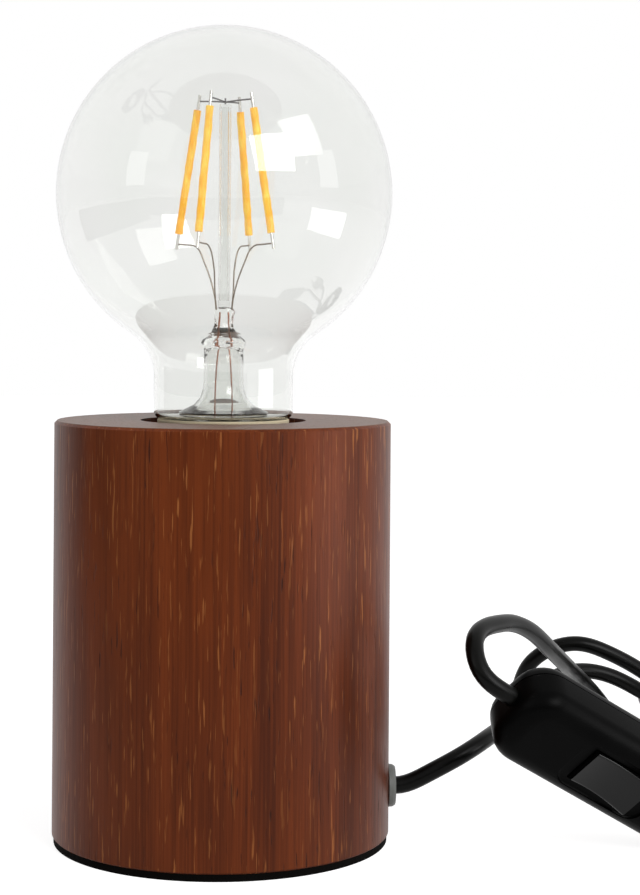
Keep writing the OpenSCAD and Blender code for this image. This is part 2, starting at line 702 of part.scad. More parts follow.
module switch_screws() color("silver") switch_place()
    for (x = screw_x) translate([x, 0, switch_screw_z]) rotate([-90, 0, 0]) {
        translate([0, 0, -4]) cylinder(h = switch_t / 2 + 3.2, d = 2.1, $fn = 32);
        translate([0, 0, switch_t / 2 - 0.8]) cylinder(h = 0.7, d = 5, $fn = 32);
    }

// two terminal blocks with their contact strips, and the post that stands free between them
module switch_terminals() color("gold") switch_place() {
    back = switch_t / 2 - switch_wall;
    for (s = [-1, 1]) {
        translate([rocker_mid_x + s * terminal_mid - terminal_half, back - 6, switch_w / 2 - 4.5])
            cube([2 * terminal_half, 6, 5]);
        translate([rocker_mid_x + s * 8 - 5, back - 1.5, switch_w / 2 - 3]) cube([10, 1, 4]);
    }
    translate([rocker_mid_x - 2, back - 3.4, switch_w / 2 - 3]) cube([4, 3.4, 4]);
}

// the sheath inside each end of the switch, and its cores to the terminals
module switch_leads() color("dimgray") switch_place() {
    back = switch_t / 2 - switch_wall;
    for (s = [0, 1]) {
        face = s * switch_l;
        inward = s == 0 ? 1 : -1;
        translate([s == 0 ? 0 : switch_l - sheath_in, 0, switch_entry_h]) rotate([0, 90, 0])
            cylinder(h = sheath_in, d = cord_d, $fn = 48);
        wire([
            [face + inward * (sheath_in - 1), 0.8, switch_entry_h - 1],
            [face + inward * (sheath_in + 2.5), back - 4, switch_w / 2 - 2],
            [rocker_mid_x - inward * (terminal_mid + terminal_half + 1), back - 4, switch_w / 2 - 2]
        ], 1.6);
    }
}

// ---------- Free cord ----------

function switch_point(p) =
    let (
        a = [p.x, p.y * cos(switch_lean) - p.z * sin(switch_lean),
            p.y * sin(switch_lean) + p.z * cos(switch_lean)],
        b = [a.x * cos(switch_pitch) + a.z * sin(switch_pitch), a.y,
            -a.x * sin(switch_pitch) + a.z * cos(switch_pitch)]
    )
    switch_pos + [b.x * cos(switch_yaw) + b.y * sin(switch_yaw),
        -b.x * sin(switch_yaw) + b.y * cos(switch_yaw), b.z];
switch_left = switch_point([0, 0, switch_entry_h]);
switch_right = switch_point([switch_l, 0, switch_entry_h]);
switch_along = unit(switch_right - switch_left);

module cord_lamp_to_switch() color("#262626")
    route_tube(concat([[exit_x, 0, exit_h]], lamp_route, [switch_right]), [1, 0, 0], -switch_along);

module cord_switch_to_coil() color("#262626")
    route_tube(concat([switch_left], loop_route), -switch_along, [1, 0, 0]);

module cord_coil_to_plug() color("#262626")
    route_tube(plug_route, [0, -1, 0], [0, -1, 0]);

// The coil: t counts turns from its outer top end. The radius runs in and out at a
// steady rate, and the height drops one layer in the half turn where it reverses.
function coil_radius(t) =
    let (layer = min(floor(t / layer_turns), coil_layers - 1), u = t - layer * layer_turns)
    layer % 2 == 0 ? coil_r - coil_step * u : coil_in_r + coil_step * u;
function drop(t, at) = let (u = min(max((t - at) / 0.5 + 0.5, 0), 1)) u * u * (3 - 2 * u);
function coil_height(t) =
    cord_r + coil_step * (coil_layers - 1
        - drop(t, layer_turns) - drop(t, 2 * layer_turns) - drop(t, 3 * layer_turns));
function coil_point(t) =
    let (a = coil_start + 360 * t)
    [coil_centre.x + coil_radius(t) * cos(a), coil_centre.y + coil_radius(t) * sin(a), coil_height(t)];
function coil_heading(t) = let (a = coil_start + 360 * t) [-sin(a), cos(a), 0];

coil_start_point = coil_point(0) - cord_d * coil_heading(0);
coil_end_point = coil_point(coil_turns) + cord_d * coil_heading(coil_turns);
coil_line = [for (i = [0:coil_rings]) coil_point(coil_turns * i / coil_rings)];

module cord_coil() color("#262626") ring_tube(
    concat(
        [ring(coil_start_point, coil_heading(0), cord_r, coil_sides, 0)],
        [for (i = [0:coil_rings]) ring(coil_line[i], coil_heading(coil_turns * i / coil_rings),
            cord_r, coil_sides, 0)],
        [ring(coil_end_point, coil_heading(coil_turns), cord_r, coil_sides, 0)]
    ), coil_sides);

// least gap of the coil to itself, over points more than half a turn apart
coil_gap = min([
    for (i = [0:coil_rings]) for (j = [i + rings_per_turn / 2:1:coil_rings])
    norm(coil_line[i] - coil_line[j])
]) - cord_d;
echo(coil_least_gap = coil_gap);

// flat strap round the coil's whole section
module coil_tie() color("#303030") translate([coil_centre.x, coil_centre.y, 0]) rotate([0, 0, tie_angle])
    translate([0, tie_w / 2, 0]) rotate([90, 0, 0]) linear_extrude(tie_w) difference() {
        translate([tie_box_r[0] - tie_t, 0]) square([tie_box_r[1] - tie_box_r[0] + 2 * tie_t, tie_box_h + tie_t]);
        translate([tie_box_r[0], -1]) square([tie_box_r[1] - tie_box_r[0], tie_box_h + 1]);
    }

// ---------- Plug ----------

module plug_place() translate(plug_pos) rotate([0, 0, -90]) children();

module plug_body() color("#1c1c1c") plug_place() {
    rotate([0, 90, 0]) rotate_extrude() polygon([
        [0, 0], [cord_r + 0.9, 0], [plug_t / 2 - 1.6, plug_tail_l], [plug_t / 2 - 1.6, plug_tail_l + 3],
        [0, plug_tail_l + 3]
    ]);
    translate([plug_tail_l, 0, 0]) intersection() {
        translate([0, 0, -plug_t / 2]) linear_extrude(plug_t) polygon([
            [0, -plug_w / 2 + 7], [0, plug_w / 2 - 7], [9, plug_w / 2], [plug_l - 1, plug_w / 2],
            [plug_l, plug_w / 2 - 1], [plug_l, -plug_w / 2 + 1], [plug_l - 1, -plug_w / 2], [9, -plug_w / 2]
        ]);
        translate([-1, 0, 0]) rotate([90, 0, 90]) linear_extrude(plug_l + 2)
            round_rect([plug_w, plug_t], 3.4);
    }
}

module plug_pins() color("silver") plug_place() for (s = [-1, 1])
    translate([plug_tail_l + plug_l, s * pin_spacing / 2, 0]) rotate([0, 90, 0]) {
        cylinder(h = pin_l - pin_d / 2, d = pin_d, $fn = 48);
        translate([0, 0, pin_l - pin_d / 2]) sphere(d = pin_d, $fn = 48);
    }

wood_base();
base_pad();
cord_grommet();
cord_stop();
cord_stop_screws();
inner_lead();
holder_nipple();
nipple_washer();
nipple_nut();
holder_cap();
holder_insert();
holder_screw_shell();
holder_skirt();
holder_centre_contact();
holder_terminals();
terminal_screws();
bulb_glass();
bulb_stem();
bulb_centre_tube();
led_filament_1();
led_filament_2();
led_filament_3();
led_filament_4();
filament_tabs();
top_link_wires();
support_wires();
lead_wires();
bulb_driver();
bulb_cement();
bulb_cap_shell();
bulb_cap_insulator();
bulb_tip();
switch_front_cover();
switch_back_cover();
switch_rocker();
switch_screws();
switch_terminals();
switch_leads();
cord_lamp_to_switch();
cord_switch_to_coil();
cord_coil();
coil_tie();
cord_coil_to_plug();
plug_body();
plug_pins();
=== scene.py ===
"""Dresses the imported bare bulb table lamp: its bulb, switch, plug, lead, finishes, studio and camera."""

import json
import logging
import math
from collections.abc import Callable
from dataclasses import dataclass
from enum import Enum
import bpy
from mathutils import Euler, Matrix, Vector

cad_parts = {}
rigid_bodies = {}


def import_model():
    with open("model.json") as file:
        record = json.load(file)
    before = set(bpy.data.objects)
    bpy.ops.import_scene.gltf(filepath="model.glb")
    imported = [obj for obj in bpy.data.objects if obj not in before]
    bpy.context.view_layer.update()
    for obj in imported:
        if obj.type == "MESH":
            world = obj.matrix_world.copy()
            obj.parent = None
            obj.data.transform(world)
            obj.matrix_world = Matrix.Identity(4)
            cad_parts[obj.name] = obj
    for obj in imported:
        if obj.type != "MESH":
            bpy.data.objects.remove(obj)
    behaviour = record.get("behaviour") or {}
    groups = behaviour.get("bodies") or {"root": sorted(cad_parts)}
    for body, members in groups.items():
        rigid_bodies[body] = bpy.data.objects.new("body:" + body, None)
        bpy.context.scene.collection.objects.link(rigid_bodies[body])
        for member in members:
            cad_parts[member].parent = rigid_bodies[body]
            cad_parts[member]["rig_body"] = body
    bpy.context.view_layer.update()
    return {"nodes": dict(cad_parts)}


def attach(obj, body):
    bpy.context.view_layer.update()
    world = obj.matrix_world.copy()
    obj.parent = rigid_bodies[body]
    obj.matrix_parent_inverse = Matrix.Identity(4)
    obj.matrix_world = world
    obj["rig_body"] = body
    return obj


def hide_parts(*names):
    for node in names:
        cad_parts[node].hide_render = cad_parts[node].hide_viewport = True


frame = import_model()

log = logging.getLogger("lamp")
Colour = tuple[float, float, float, float]
MERGE = 0.000002
NEAR = 0.00001
THREAD_PITCH = 0.003629
ACROSS = Vector((1, 0, 0))
BACK = Vector((0, 1, 0))
UP = Vector((0, 0, 1))
BLACK: Colour = (0.0, 0.0, 0.0, 1.0)
WHITE: Colour = (1.0, 1.0, 1.0, 1.0)
SEEN_WHITE = ("Is Camera Ray", "Is Glossy Ray", "Is Transmission Ray")


# ---------------------------------------------------------------- shader kit


def paint(red: float, green: float, blue: float) -> Colour:
    """Turns a colour as seen on a screen into the linear one that shaders use.

    Args:
        red: Red, from 0 to 255.
        green: Green, from 0 to 255.
        blue: Blue, from 0 to 255.

    Returns:
        The linear colour, with an alpha of 1.
    """
    def linear(level: float) -> float:
        """Undoes the screen's curve for one channel."""
        share = level / 255
        return share / 12.92 if share <= 0.04045 else ((share + 0.055) / 1.055) ** 2.4

    return linear(red), linear(green), linear(blue), 1.0


class Value:
    """One number inside a shader. Python's operators on it add Math nodes."""

    def __init__(self, tree: bpy.types.NodeTree, socket: bpy.types.NodeSocket) -> None:
        """Wraps an output socket of the tree."""
        self.tree = tree
        self.socket = socket

    def join(self, operation: str, first: "Value | float", second: "Value | float" = 0.0) -> "Value":
        """Adds one Math node.

        Args:
            operation: The Math node's operation.
            first: Its first value.
            second: Its second value.

        Returns:
            The node's result.
        """
        node = self.tree.nodes.new("ShaderNodeMath")
        node.operation = operation
        for slot, item in enumerate((first, second)):
            if isinstance(item, Value):
                self.tree.links.new(item.socket, node.inputs[slot])
            else:
                node.inputs[slot].default_value = item
        return Value(self.tree, node.outputs[0])

    def __add__(self, other: "Value | float") -> "Value":
        """self + other."""
        return self.join("ADD", self, other)

    def __sub__(self, other: "Value | float") -> "Value":
        """self - other."""
        return self.join("SUBTRACT", self, other)

    def __rsub__(self, other: float) -> "Value":
        """other - self."""
        return self.join("SUBTRACT", other, self)

    def __mul__(self, other: "Value | float") -> "Value":
        """self * other."""
        return self.join("MULTIPLY", self, other)

    def __truediv__(self, other: "Value | float") -> "Value":
        """self / other."""
        return self.join("DIVIDE", self, other)

    __radd__ = __add__
    __rmul__ = __mul__

    def between(self, low: float, high: float) -> "Value":
        """Rises from 0 at low to 1 at high, and is held there.

        Args:
            low: The value that gives 0.
            high: The value that gives 1.

        Returns:
            The held share.
        """
        share = (self - low) / (high - low)
        return self.join("MINIMUM", self.join("MAXIMUM", share, 0.0), 1.0)


def white_rays(tree: bpy.types.NodeTree) -> Value:
    """Tells which rays see the white background.

    Args:
        tree: The shader's node tree.

    Returns:
        1 for those rays, else 0.
    """
    path = tree.nodes.new("ShaderNodeLightPath")
    first, *others = (Value(tree, path.outputs[ray]) for ray in SEEN_WHITE)
    for ray in others:
        first = first + ray
    return first.between(0.0, 1.0)


class Recipe:
    """A material that is put together node by node around one Principled shader."""

    def __init__(self, name: str) -> None:
        """Starts a material of that name."""
        self.material = bpy.data.materials.new(name)
        self.material.use_nodes = True
        self.tree = self.material.node_tree
        self.shader = next(n for n in self.tree.nodes if n.type == "BSDF_PRINCIPLED")
        self.place = self.node("ShaderNodeTexCoord").outputs["Object"]

    def node(
        self,
        kind: str,
        settings: dict[str, object] | None = None,
        values: dict[str | int, object] | None = None,
    ) -> bpy.types.Node:
        """Adds a node of any kind but Math.

        Args:
            kind: The node's type.
            settings: Its settings, such as data_type.
            values: A number, colour, Value or socket for each of its inputs.

        Returns:
            The new node.
        """
        node = self.tree.nodes.new(kind)
        for key, setting in (settings or {}).items():
            setattr(node, key, setting)
        for key, value in (values or {}).items():
            self.plug(node, key, value)
        return node

    def plug(self, node: bpy.types.Node, key: str | int, value: object) -> None:
        """Sets or links one input of a node.

        Args:
            node: The node.
            key: The input's name or number.
            value: A number, a colour, a Value or a socket.
        """
        source = value.socket if isinstance(value, Value) else value
        if isinstance(source, bpy.types.NodeSocket):
            self.tree.links.new(source, node.inputs[key])
        else:
            node.inputs[key].default_value = source

    def noise(self, per_metre: float, detail: float = 2.0, stretch: Vector = Vector((1, 1, 1))) -> Value:
        """Adds a noise on the piece's own coordinates.

        Args:
            per_metre: How many features it has to the metre.
            detail: How many finer layers it has.
            stretch: The scale along each axis, below 1 where it is drawn out.

        Returns:
            The noise, around 0.5.
        """
        spot = self.node("ShaderNodeMapping", values={"Vector": self.place, "Scale": stretch})
        grain = self.node("ShaderNodeTexNoise", values={
            "Vector": spot.outputs[0], "Scale": per_metre, "Detail": detail,
        })
        return Value(self.tree, grain.outputs[0])

    def mix(self, share: Value, low: object, high: object) -> bpy.types.NodeSocket:
        """Mixes two colours.

        Args:
            share: How much there is of the second, from 0 to 1.
            low: The first colour, or a socket that gives it.
            high: The second colour, or a socket that gives it.

        Returns:
            The mixed colour's socket.
        """
        return self.node("ShaderNodeMix", {"data_type": "RGBA"}, {0: share, 6: low, 7: high}).outputs[2]

    def feed(self, name: str, value: object) -> None:
        """Sets one of the shader's inputs to a number, a colour, a Value or a socket."""
        self.plug(self.shader, name, value)

    def bump(self, height: Value, depth: float) -> None:
        """Roughens the surface.

        Args:
            height: The height's share, from 0 to 1.
            depth: The full height in metres.
        """
        relief = self.node("ShaderNodeBump", values={"Height": height, "Distance": depth, "Strength": 1.0})
        self.feed("Normal", relief.outputs[0])


# ---------------------------------------------------------------- modelling


def ramp(value: float, start: float, reach: float) -> float:
    """Rises from 0 at the start to 1 at the end of its reach, and is held there."""
    return min(max((value - start) / reach, 0), 1)


def take_up(piece: bpy.types.Object) -> None:
    """Makes a piece the only selected one and the active one."""
    bpy.ops.object.select_all(action="DESELECT")
    piece.select_set(True)
    bpy.context.view_layer.objects.active = piece


def start_mesh(name: str) -> bpy.types.Object:
    """Adds a mesh of one selected vertex at the origin and enters its edit mode.

    Args:
        name: The new piece's name.

    Returns:
        The piece.
    """
    bpy.ops.object.select_all(action="DESELECT")
    bpy.ops.mesh.primitive_plane_add(size=0.001, location=(0, 0, 0))
    piece = bpy.context.object
    piece.name = piece.data.name = name
    bpy.ops.object.mode_set(mode="EDIT")
    bpy.ops.mesh.select_all(action="SELECT")
    bpy.ops.mesh.merge(type="CENTER")
    return piece


def draw_outline(name: str, points: list[Vector], closed: bool = False) -> bpy.types.Object:
    """Draws an outline by extruding one vertex from point to point.

    Args:
        name: The new piece's name.
        points: The outline's points in metres.
        closed: Whether its last point joins its first one and the outline is filled.

    Returns:
        The piece, in object mode.
    """
    piece = start_mesh(name)
    bpy.ops.transform.translate(value=points[0])
    for here, there in zip(points, points[1:]):
        bpy.ops.mesh.extrude_vertices_move(TRANSFORM_OT_translate={"value": there - here})
    if closed:
        bpy.ops.mesh.select_all(action="SELECT")
        bpy.ops.mesh.edge_face_add()
    bpy.ops.object.mode_set(mode="OBJECT")
    return piece


def modify(piece: bpy.types.Object, kind: str, **settings: object) -> None:
    """Adds a modifier to a piece and applies it.

    Args:
        piece: The piece.
        kind: The modifier's type.
        settings: Its settings.
    """
    modifier = piece.modifiers.new(kind.lower(), kind)
    for key, setting in settings.items():
        setattr(modifier, key, setting)
    bpy.context.view_layer.objects.active = piece
    bpy.ops.object.modifier_apply(modifier=modifier.name)


def tidy_mesh(piece: bpy.types.Object, angle: float = 35) -> None:
    """Merges doubles, turns all faces outwards and smooths all edges below an angle.

    Args:
        piece: The piece.
        angle: The angle in degrees from which an edge stays sharp.
    """
    take_up(piece)
    bpy.ops.object.mode_set(mode="EDIT")
    bpy.ops.mesh.select_all(action="SELECT")
    bpy.ops.mesh.remove_doubles(threshold=MERGE)
    bpy.ops.mesh.normals_make_consistent(inside=False)
    bpy.ops.object.mode_set(mode="OBJECT")
    bpy.ops.object.shade_smooth_by_angle(angle=math.radians(angle))


def turn_on_lathe(
    name: str, outline: list[Vector], steps: int = 96, pitch: float = 0.0, turns: int = 1
) -> bpy.types.Object:
    """Turns an outline about the vertical axis, or winds it into a thread.

    Args:
        name: The new piece's name.
        outline: Points in the plane y = 0.
        steps: How many steps a turn has.
        pitch: How far it rises in each turn.
        turns: How many turns it has.

    Returns:
        The piece.
    """
    piece = draw_outline(name, outline)
    modify(
        piece, "SCREW", angle=math.tau, screw_offset=pitch, iterations=turns, steps=steps,
        render_steps=steps, use_merge_vertices=pitch == 0, merge_threshold=MERGE,
    )
    tidy_mesh(piece)
    return piece


def trim(piece: bpy.types.Object, place: Vector, away: Vector) -> None:
    """Cuts a piece with a plane and takes off the side that the arrow points to.

    Args:
        piece: The piece.
        place: A point of the plane.
        away: The arrow, square to the plane.
    """
    take_up(piece)
    bpy.ops.object.mode_set(mode="EDIT")
    bpy.ops.mesh.select_all(action="SELECT")
    bpy.ops.mesh.bisect(plane_co=place, plane_no=away, clear_outer=True)
    bpy.ops.object.mode_set(mode="OBJECT")


def draw_wires(name: str, lines: list[list[Vector]], thick: float) -> bpy.types.Object:
    """Draws round wires through points, as one mesh.

    Args:
        name: The new piece's name.
        lines: The points of each wire.
        thick: The wires' diameter.

    Returns:
        The piece.
    """
    curve = bpy.data.curves.new(name, "CURVE")
    curve.dimensions = "3D"
    curve.bevel_depth = thick / 2
    curve.bevel_resolution = 3
    curve.resolution_u = 4
    curve.use_fill_caps = True
    for line in lines:
        spline = curve.splines.new("BEZIER")
        spline.bezier_points.add(len(line) - 1)
        for knot, place in zip(spline.bezier_points, line):
            knot.co = place
            knot.handle_left_type = knot.handle_right_type = "AUTO"
    piece = bpy.data.objects.new(name, curve)
    bpy.context.scene.collection.objects.link(piece)
    take_up(piece)
    bpy.ops.object.convert(target="MESH")
    piece = bpy.context.object
    bpy.ops.object.shade_smooth_by_angle(angle=math.radians(50))
    return piece


def crumple(piece: bpy.types.Object, name: str, grain: float, height: float, **settings: object) -> None:
    """Makes a piece's surface softly uneven.

    Args:
        piece: The piece.
        name: The name of the texture that does it.
        grain: The size of its clouds in metres.
        height: How far they move the surface.
        settings: The modifier's other settings.
    """
    clouds = bpy.data.textures.new(name, "CLOUDS")
    clouds.noise_scale = grain
    modify(
        piece, "DISPLACE", texture=clouds, strength=height, mid_level=0.5, texture_coords="LOCAL", **settings
    )


def bevel_edges(
    piece: bpy.types.Object, chosen: Callable[[Vector, Vector], bool], width: float, steps: int
) -> None:
    """Rounds some of a piece's edges.

    Args:
        piece: The piece.
        chosen: Says from an edge's two ends whether it is rounded.
        width: How far the rounding reaches.
        steps: How many faces it has.
    """
    take_up(piece)
    bpy.ops.object.mode_set(mode="EDIT")
    bpy.ops.mesh.select_mode(type="EDGE")
    bpy.ops.mesh.select_all(action="DESELECT")
    bpy.ops.object.mode_set(mode="OBJECT")
    points = [vertex.co for vertex in piece.data.vertices]
    for edge in piece.data.edges:
        edge.select = chosen(*(points[i] for i in edge.vertices))
    bpy.ops.object.mode_set(mode="EDIT")
    bpy.ops.mesh.bevel(offset=width, segments=steps, affect="EDGES", clamp_overlap=False)
    bpy.ops.mesh.select_mode(type="VERT")
    bpy.ops.object.mode_set(mode="OBJECT")


def round_block(
    name: str, low: Vector, high: Vector, corner: float, edge: float, steps: int = 8
) -> bpy.types.Object:
    """Models a block with round corners seen along y, and rounded edges round its front and back.

    Args:
        name: The new piece's name.
        low: Its lowest corner in metres.
        high: Its highest corner.
        corner: The radius of its corners.
        edge: The radius of its edges, below that of its corners.
        steps: How many faces a rounding has.

    Returns:
        The piece.
    """
    bpy.ops.object.select_all(action="DESELECT")
    bpy.ops.mesh.primitive_cube_add(size=1, location=(low + high) / 2)
    piece = bpy.context.object
    piece.name = piece.data.name = name
    piece.scale = high - low
    bpy.ops.object.transform_apply(location=True, rotation=True, scale=True)
    bevel_edges(piece, lambda a, b: abs(a.y - b.y) > NEAR, corner, steps)
    if edge:
        bevel_edges(
            piece, lambda a, b: abs(a.y - b.y) < NEAR and min(abs(a.y - low.y), abs(a.y - high.y)) < NEAR,
            edge, steps,
        )
    tidy_mesh(piece)
    return piece


def round_bar(name: str, start: Vector, end: Vector, radius: float) -> bpy.types.Object:
    """Models a round bar between two points, its edges a little broken.

    Args:
        name: The new piece's name.
        start: The middle of its one end.
        end: The middle of its other end.
        radius: Its radius.

    Returns:
        The piece.
    """
    along = end - start
    broken = min(0.0002, radius / 4)
    bpy.ops.object.select_all(action="DESELECT")
    bpy.ops.mesh.primitive_cylinder_add(
        vertices=40, radius=radius, depth=along.length, location=(start + end) / 2,
        rotation=along.to_track_quat("Z", "Y").to_euler(),
    )
    piece = bpy.context.object
    piece.name = piece.data.name = name
    bpy.ops.object.transform_apply(location=True, rotation=True, scale=True)
    modify(piece, "BEVEL", width=broken, segments=2, limit_method="ANGLE")
    tidy_mesh(piece)
    return piece


def cut_out(piece: bpy.types.Object, cutter: bpy.types.Object) -> None:
    """Cuts one piece out of another and throws it away."""
    modify(piece, "BOOLEAN", operation="DIFFERENCE", solver="EXACT", object=cutter)
    bpy.data.objects.remove(cutter)


def join_pieces(first: bpy.types.Object, *others: bpy.types.Object) -> bpy.types.Object:
    """Joins pieces into the first one's mesh.

    Args:
        first: The piece that stays.
        others: The pieces that become part of it.

    Returns:
        The first piece.
    """
    take_up(first)
    for piece in others:
        piece.select_set(True)
    bpy.ops.object.join()
    return first


def settle(piece: bpy.types.Object, place: Matrix) -> bpy.types.Object:
    """Moves a piece and puts its place in its mesh.

    Args:
        piece: The piece.
        place: The matrix that moves it.

    Returns:
        The piece.
    """
    take_up(piece)
    piece.matrix_world = place @ piece.matrix_world
    bpy.ops.object.transform_apply(location=True, rotation=True, scale=True)
    return piece


def cut_thread(
    name: str, middle: float, depth: float, span: tuple[float, float], wall: float
) -> bpy.types.Object:
    """Rolls a sheet-metal screw shell with the round thread of a common lamp cap.

    Args:
        name: The new piece's name.
        middle: The sheet's mean radius.
        depth: How far the thread runs to each side of it.
        span: The heights of its lower and upper ends.
        wall: The sheet's thickness, below 0 where it lies outside the rolled face.

    Returns:
        The shell.
    """
    low, high = span
    steps = 14
    start = (math.floor(low / THREAD_PITCH) - 1) * THREAD_PITCH
    turns = math.ceil((high - start) / THREAD_PITCH) + 1
    outline = [
        Vector((middle + depth * math.cos(math.tau * i / steps), 0, start + THREAD_PITCH * i / steps))
        for i in range(steps + 1)
    ]
    shell = turn_on_lathe(name, outline, 56, THREAD_PITCH, turns)
    trim(shell, UP * high, UP)
    trim(shell, UP * low, -UP)
    modify(shell, "SOLIDIFY", thickness=wall, offset=-1)
    tidy_mesh(shell, 60)
    return shell


def arc(middle: Vector, radius: float, start: float, end: float, steps: int) -> list[Vector]:
    """Returns the points of an arc in the plane y = 0, its angles in degrees from the x axis."""
    turns = [math.radians(start + (end - start) * i / steps) for i in range(steps + 1)]
    return [middle + radius * Vector((math.cos(a), 0, math.sin(a))) for a in turns]


def millimetres(*pairs: tuple[float, float], foot: float = 0.0) -> list[Vector]:
    """Returns points of the plane y = 0 from radii and heights in millimetres above a foot in metres."""
    return [Vector((r / 1000, 0, z / 1000 + foot)) for r, z in pairs]


# ---------------------------------------------------------------- finishes


@dataclass(frozen=True)
class StainedWood:
    """Reddish-brown stained hardwood, its grain and pores running up the base.

    Attributes:
        body: The colour between the grain.
        shade: The darker grain.
        pore: The dark pores.
        streak: The light ticks.
        end_grain: The base's top.
        rim_height: The height from which its top shows, in metres.
        rough: How dull it is, from 0 to 1.
        gloss: How strongly it reflects, from 0 to 1.
        relief: The depth of its pores in metres.
    """

    body: Colour = paint(122, 56, 22)
    shade: Colour = paint(74, 30, 9)
    pore: Colour = paint(42, 18, 10)
    streak: Colour = paint(186, 116, 62)
    end_grain: Colour = paint(108, 76, 56)
    rim_height: float = 0.1178
    rough: float = 0.31
    gloss: float = 0.12
    relief: float = 0.00008

    def build(self) -> bpy.types.Material:
        """Lays grain, dark pores and light ticks over the body colour.

        Returns:
            The wood's material.
        """
        wood = Recipe("stained_wood")
        patches = wood.noise(16, 2, Vector((1, 1, 0.5)))
        bands = wood.noise(110, 3, Vector((1, 1, 0.03)))
        fibres = wood.noise(1500, 3, Vector((1, 1, 0.014)))
        grain = (patches * 0.8 + bands * 0.55 + fibres * 0.5).between(0.72, 1.12)
        colour = wood.mix(grain, self.body, self.shade)
        area = wood.noise(60, 2, Vector((1, 1, 0.35))).between(0.38, 0.62)
        dark = wood.noise(1250, 2, Vector((1, 1, 0.075))).between(0.64, 0.70) * area
        light = wood.noise(1350, 2, Vector((1.07, 1.07, 0.06))).between(0.62, 0.68) * (1 - area * 0.75)
        lines = wood.noise(620, 2, Vector((1, 1, 0.022))).between(0.62, 0.72)
        colour = wood.mix(lines * 0.5, colour, self.shade)
        colour = wood.mix(dark * 0.85, colour, self.pore)
        colour = wood.mix(light * 0.6, colour, self.streak)
        height = Value(wood.tree, wood.node("ShaderNodeSeparateXYZ", values={0: wood.place}).outputs[2])
        top = height.between(self.rim_height, self.rim_height + 0.0001)
        wood.feed("Base Color", wood.mix(top * 0.8, colour, self.end_grain))
        wood.feed("Roughness", fibres * 0.14 + self.rough + dark * 0.2)
        wood.feed("Specular IOR Level", self.gloss)
        wood.bump(fibres * 0.35 + 0.5 - dark - light * 0.3, self.relief)
        return wood.material


@dataclass(frozen=True)
class Moulding:
    """A moulded plastic or rubber in one colour, with its fine skin.

    Attributes:
        name: The material's name.
        colour: Its colour.
        rough: How dull it is, from 0 to 1.
        skin: The depth of its skin's relief in metres.
        per_metre: How many grains the skin has to the metre.
        gloss: How strongly it reflects, from 0 to 1.
    """

    name: str
    colour: Colour
    rough: float = 0.4
    skin: float = 0.00001
    per_metre: float = 2600
    gloss: float = 0.5

    def build(self) -> bpy.types.Material:
        """Gives the colour its faint wear and fine skin.

        Returns:
            The moulding's material.
        """
        plastic = Recipe(self.name)
        grain = plastic.noise(self.per_metre, 3)
        wear = plastic.noise(90, 3)
        paler = tuple(min(1.0, c * 1.3 + 0.0015) for c in self.colour[:3]) + (1.0,)
        plastic.feed("Base Color", plastic.mix(wear.between(0.4, 0.75) * 0.6, self.colour, paler))
        plastic.feed("Roughness", self.rough - 0.06 + wear * 0.12)
        plastic.feed("Specular IOR Level", self.gloss)
        plastic.bump(grain, self.skin)
        return plastic.material


@dataclass(frozen=True)
class Metal:
    """A plated or drawn metal with fine tool marks.

    Attributes:
        name: The material's name.
        colour: Its colour.
        rough: How dull it is, from 0 to 1.
        marks: The scale of the tool marks along each axis.
    """

    name: str
    colour: Colour
    rough: float = 0.25
    marks: tuple[float, float, float] = (1.0, 1.0, 6.0)

    def build(self) -> bpy.types.Material:
        """Clouds the colour and lays the tool marks over it.

        Returns:
            The metal's material.
        """
        metal = Recipe(self.name)
        lines = metal.noise(700, 3, Vector(self.marks))
        cloud = metal.noise(160, 2)
        duller = tuple(c * 0.78 for c in self.colour[:3]) + (1.0,)
        metal.feed("Base Color", metal.mix(cloud.between(0.4, 0.7), self.colour, duller))
        metal.feed("Metallic", 1.0)
        metal.feed("Roughness", lines * 0.16 + self.rough - 0.06)
        metal.bump(lines, 0.000008)
        return metal.material


@dataclass(frozen=True)
class ClearGlass:
    """Clear blown glass, a little greyer where it lies thicker."""

    name: str = "clear_glass"
    tint: Colour = paint(246, 246, 245)
    thick: Colour = paint(243, 244, 242)

    def build(self) -> bpy.types.Material:
        """Makes glass that light passes through.

        Returns:
            The glass's material.
        """
        glass = Recipe(self.name)
        glass.feed("Base Color", glass.mix(glass.noise(28, 1).between(0.35, 0.65), self.tint, self.thick))
        glass.feed("Transmission Weight", 1.0)
        glass.feed("IOR", 1.45)
        glass.feed("Roughness", 0.0)
        return glass.material


@dataclass(frozen=True)
class Phosphor:
    """The yellow coating of the filaments, paler where it lies thick."""

    body: Colour = paint(252, 178, 14)
    pale: Colour = paint(253, 208, 74)

    def build(self) -> bpy.types.Material:
        """Makes an uneven coating with a faint painted glow, which stands in for the light that falls
        through it.

        Returns:
            The coating's material.
        """
        coat = Recipe("yellow_coating")
        patches = coat.noise(420, 3, Vector((1, 1, 0.35)))
        colour = coat.mix(patches.between(0.42, 0.68), self.body, self.pale)
        coat.feed("Base Color", colour)
        coat.feed("Roughness", 0.42)
        # Painted glow: the coating gives off a little of its own colour in place of the light that passes
        # through it.
        coat.feed("Emission Color", colour)
        coat.feed("Emission Strength", 0.22)
        coat.bump(patches, 0.00006)
        return coat.material


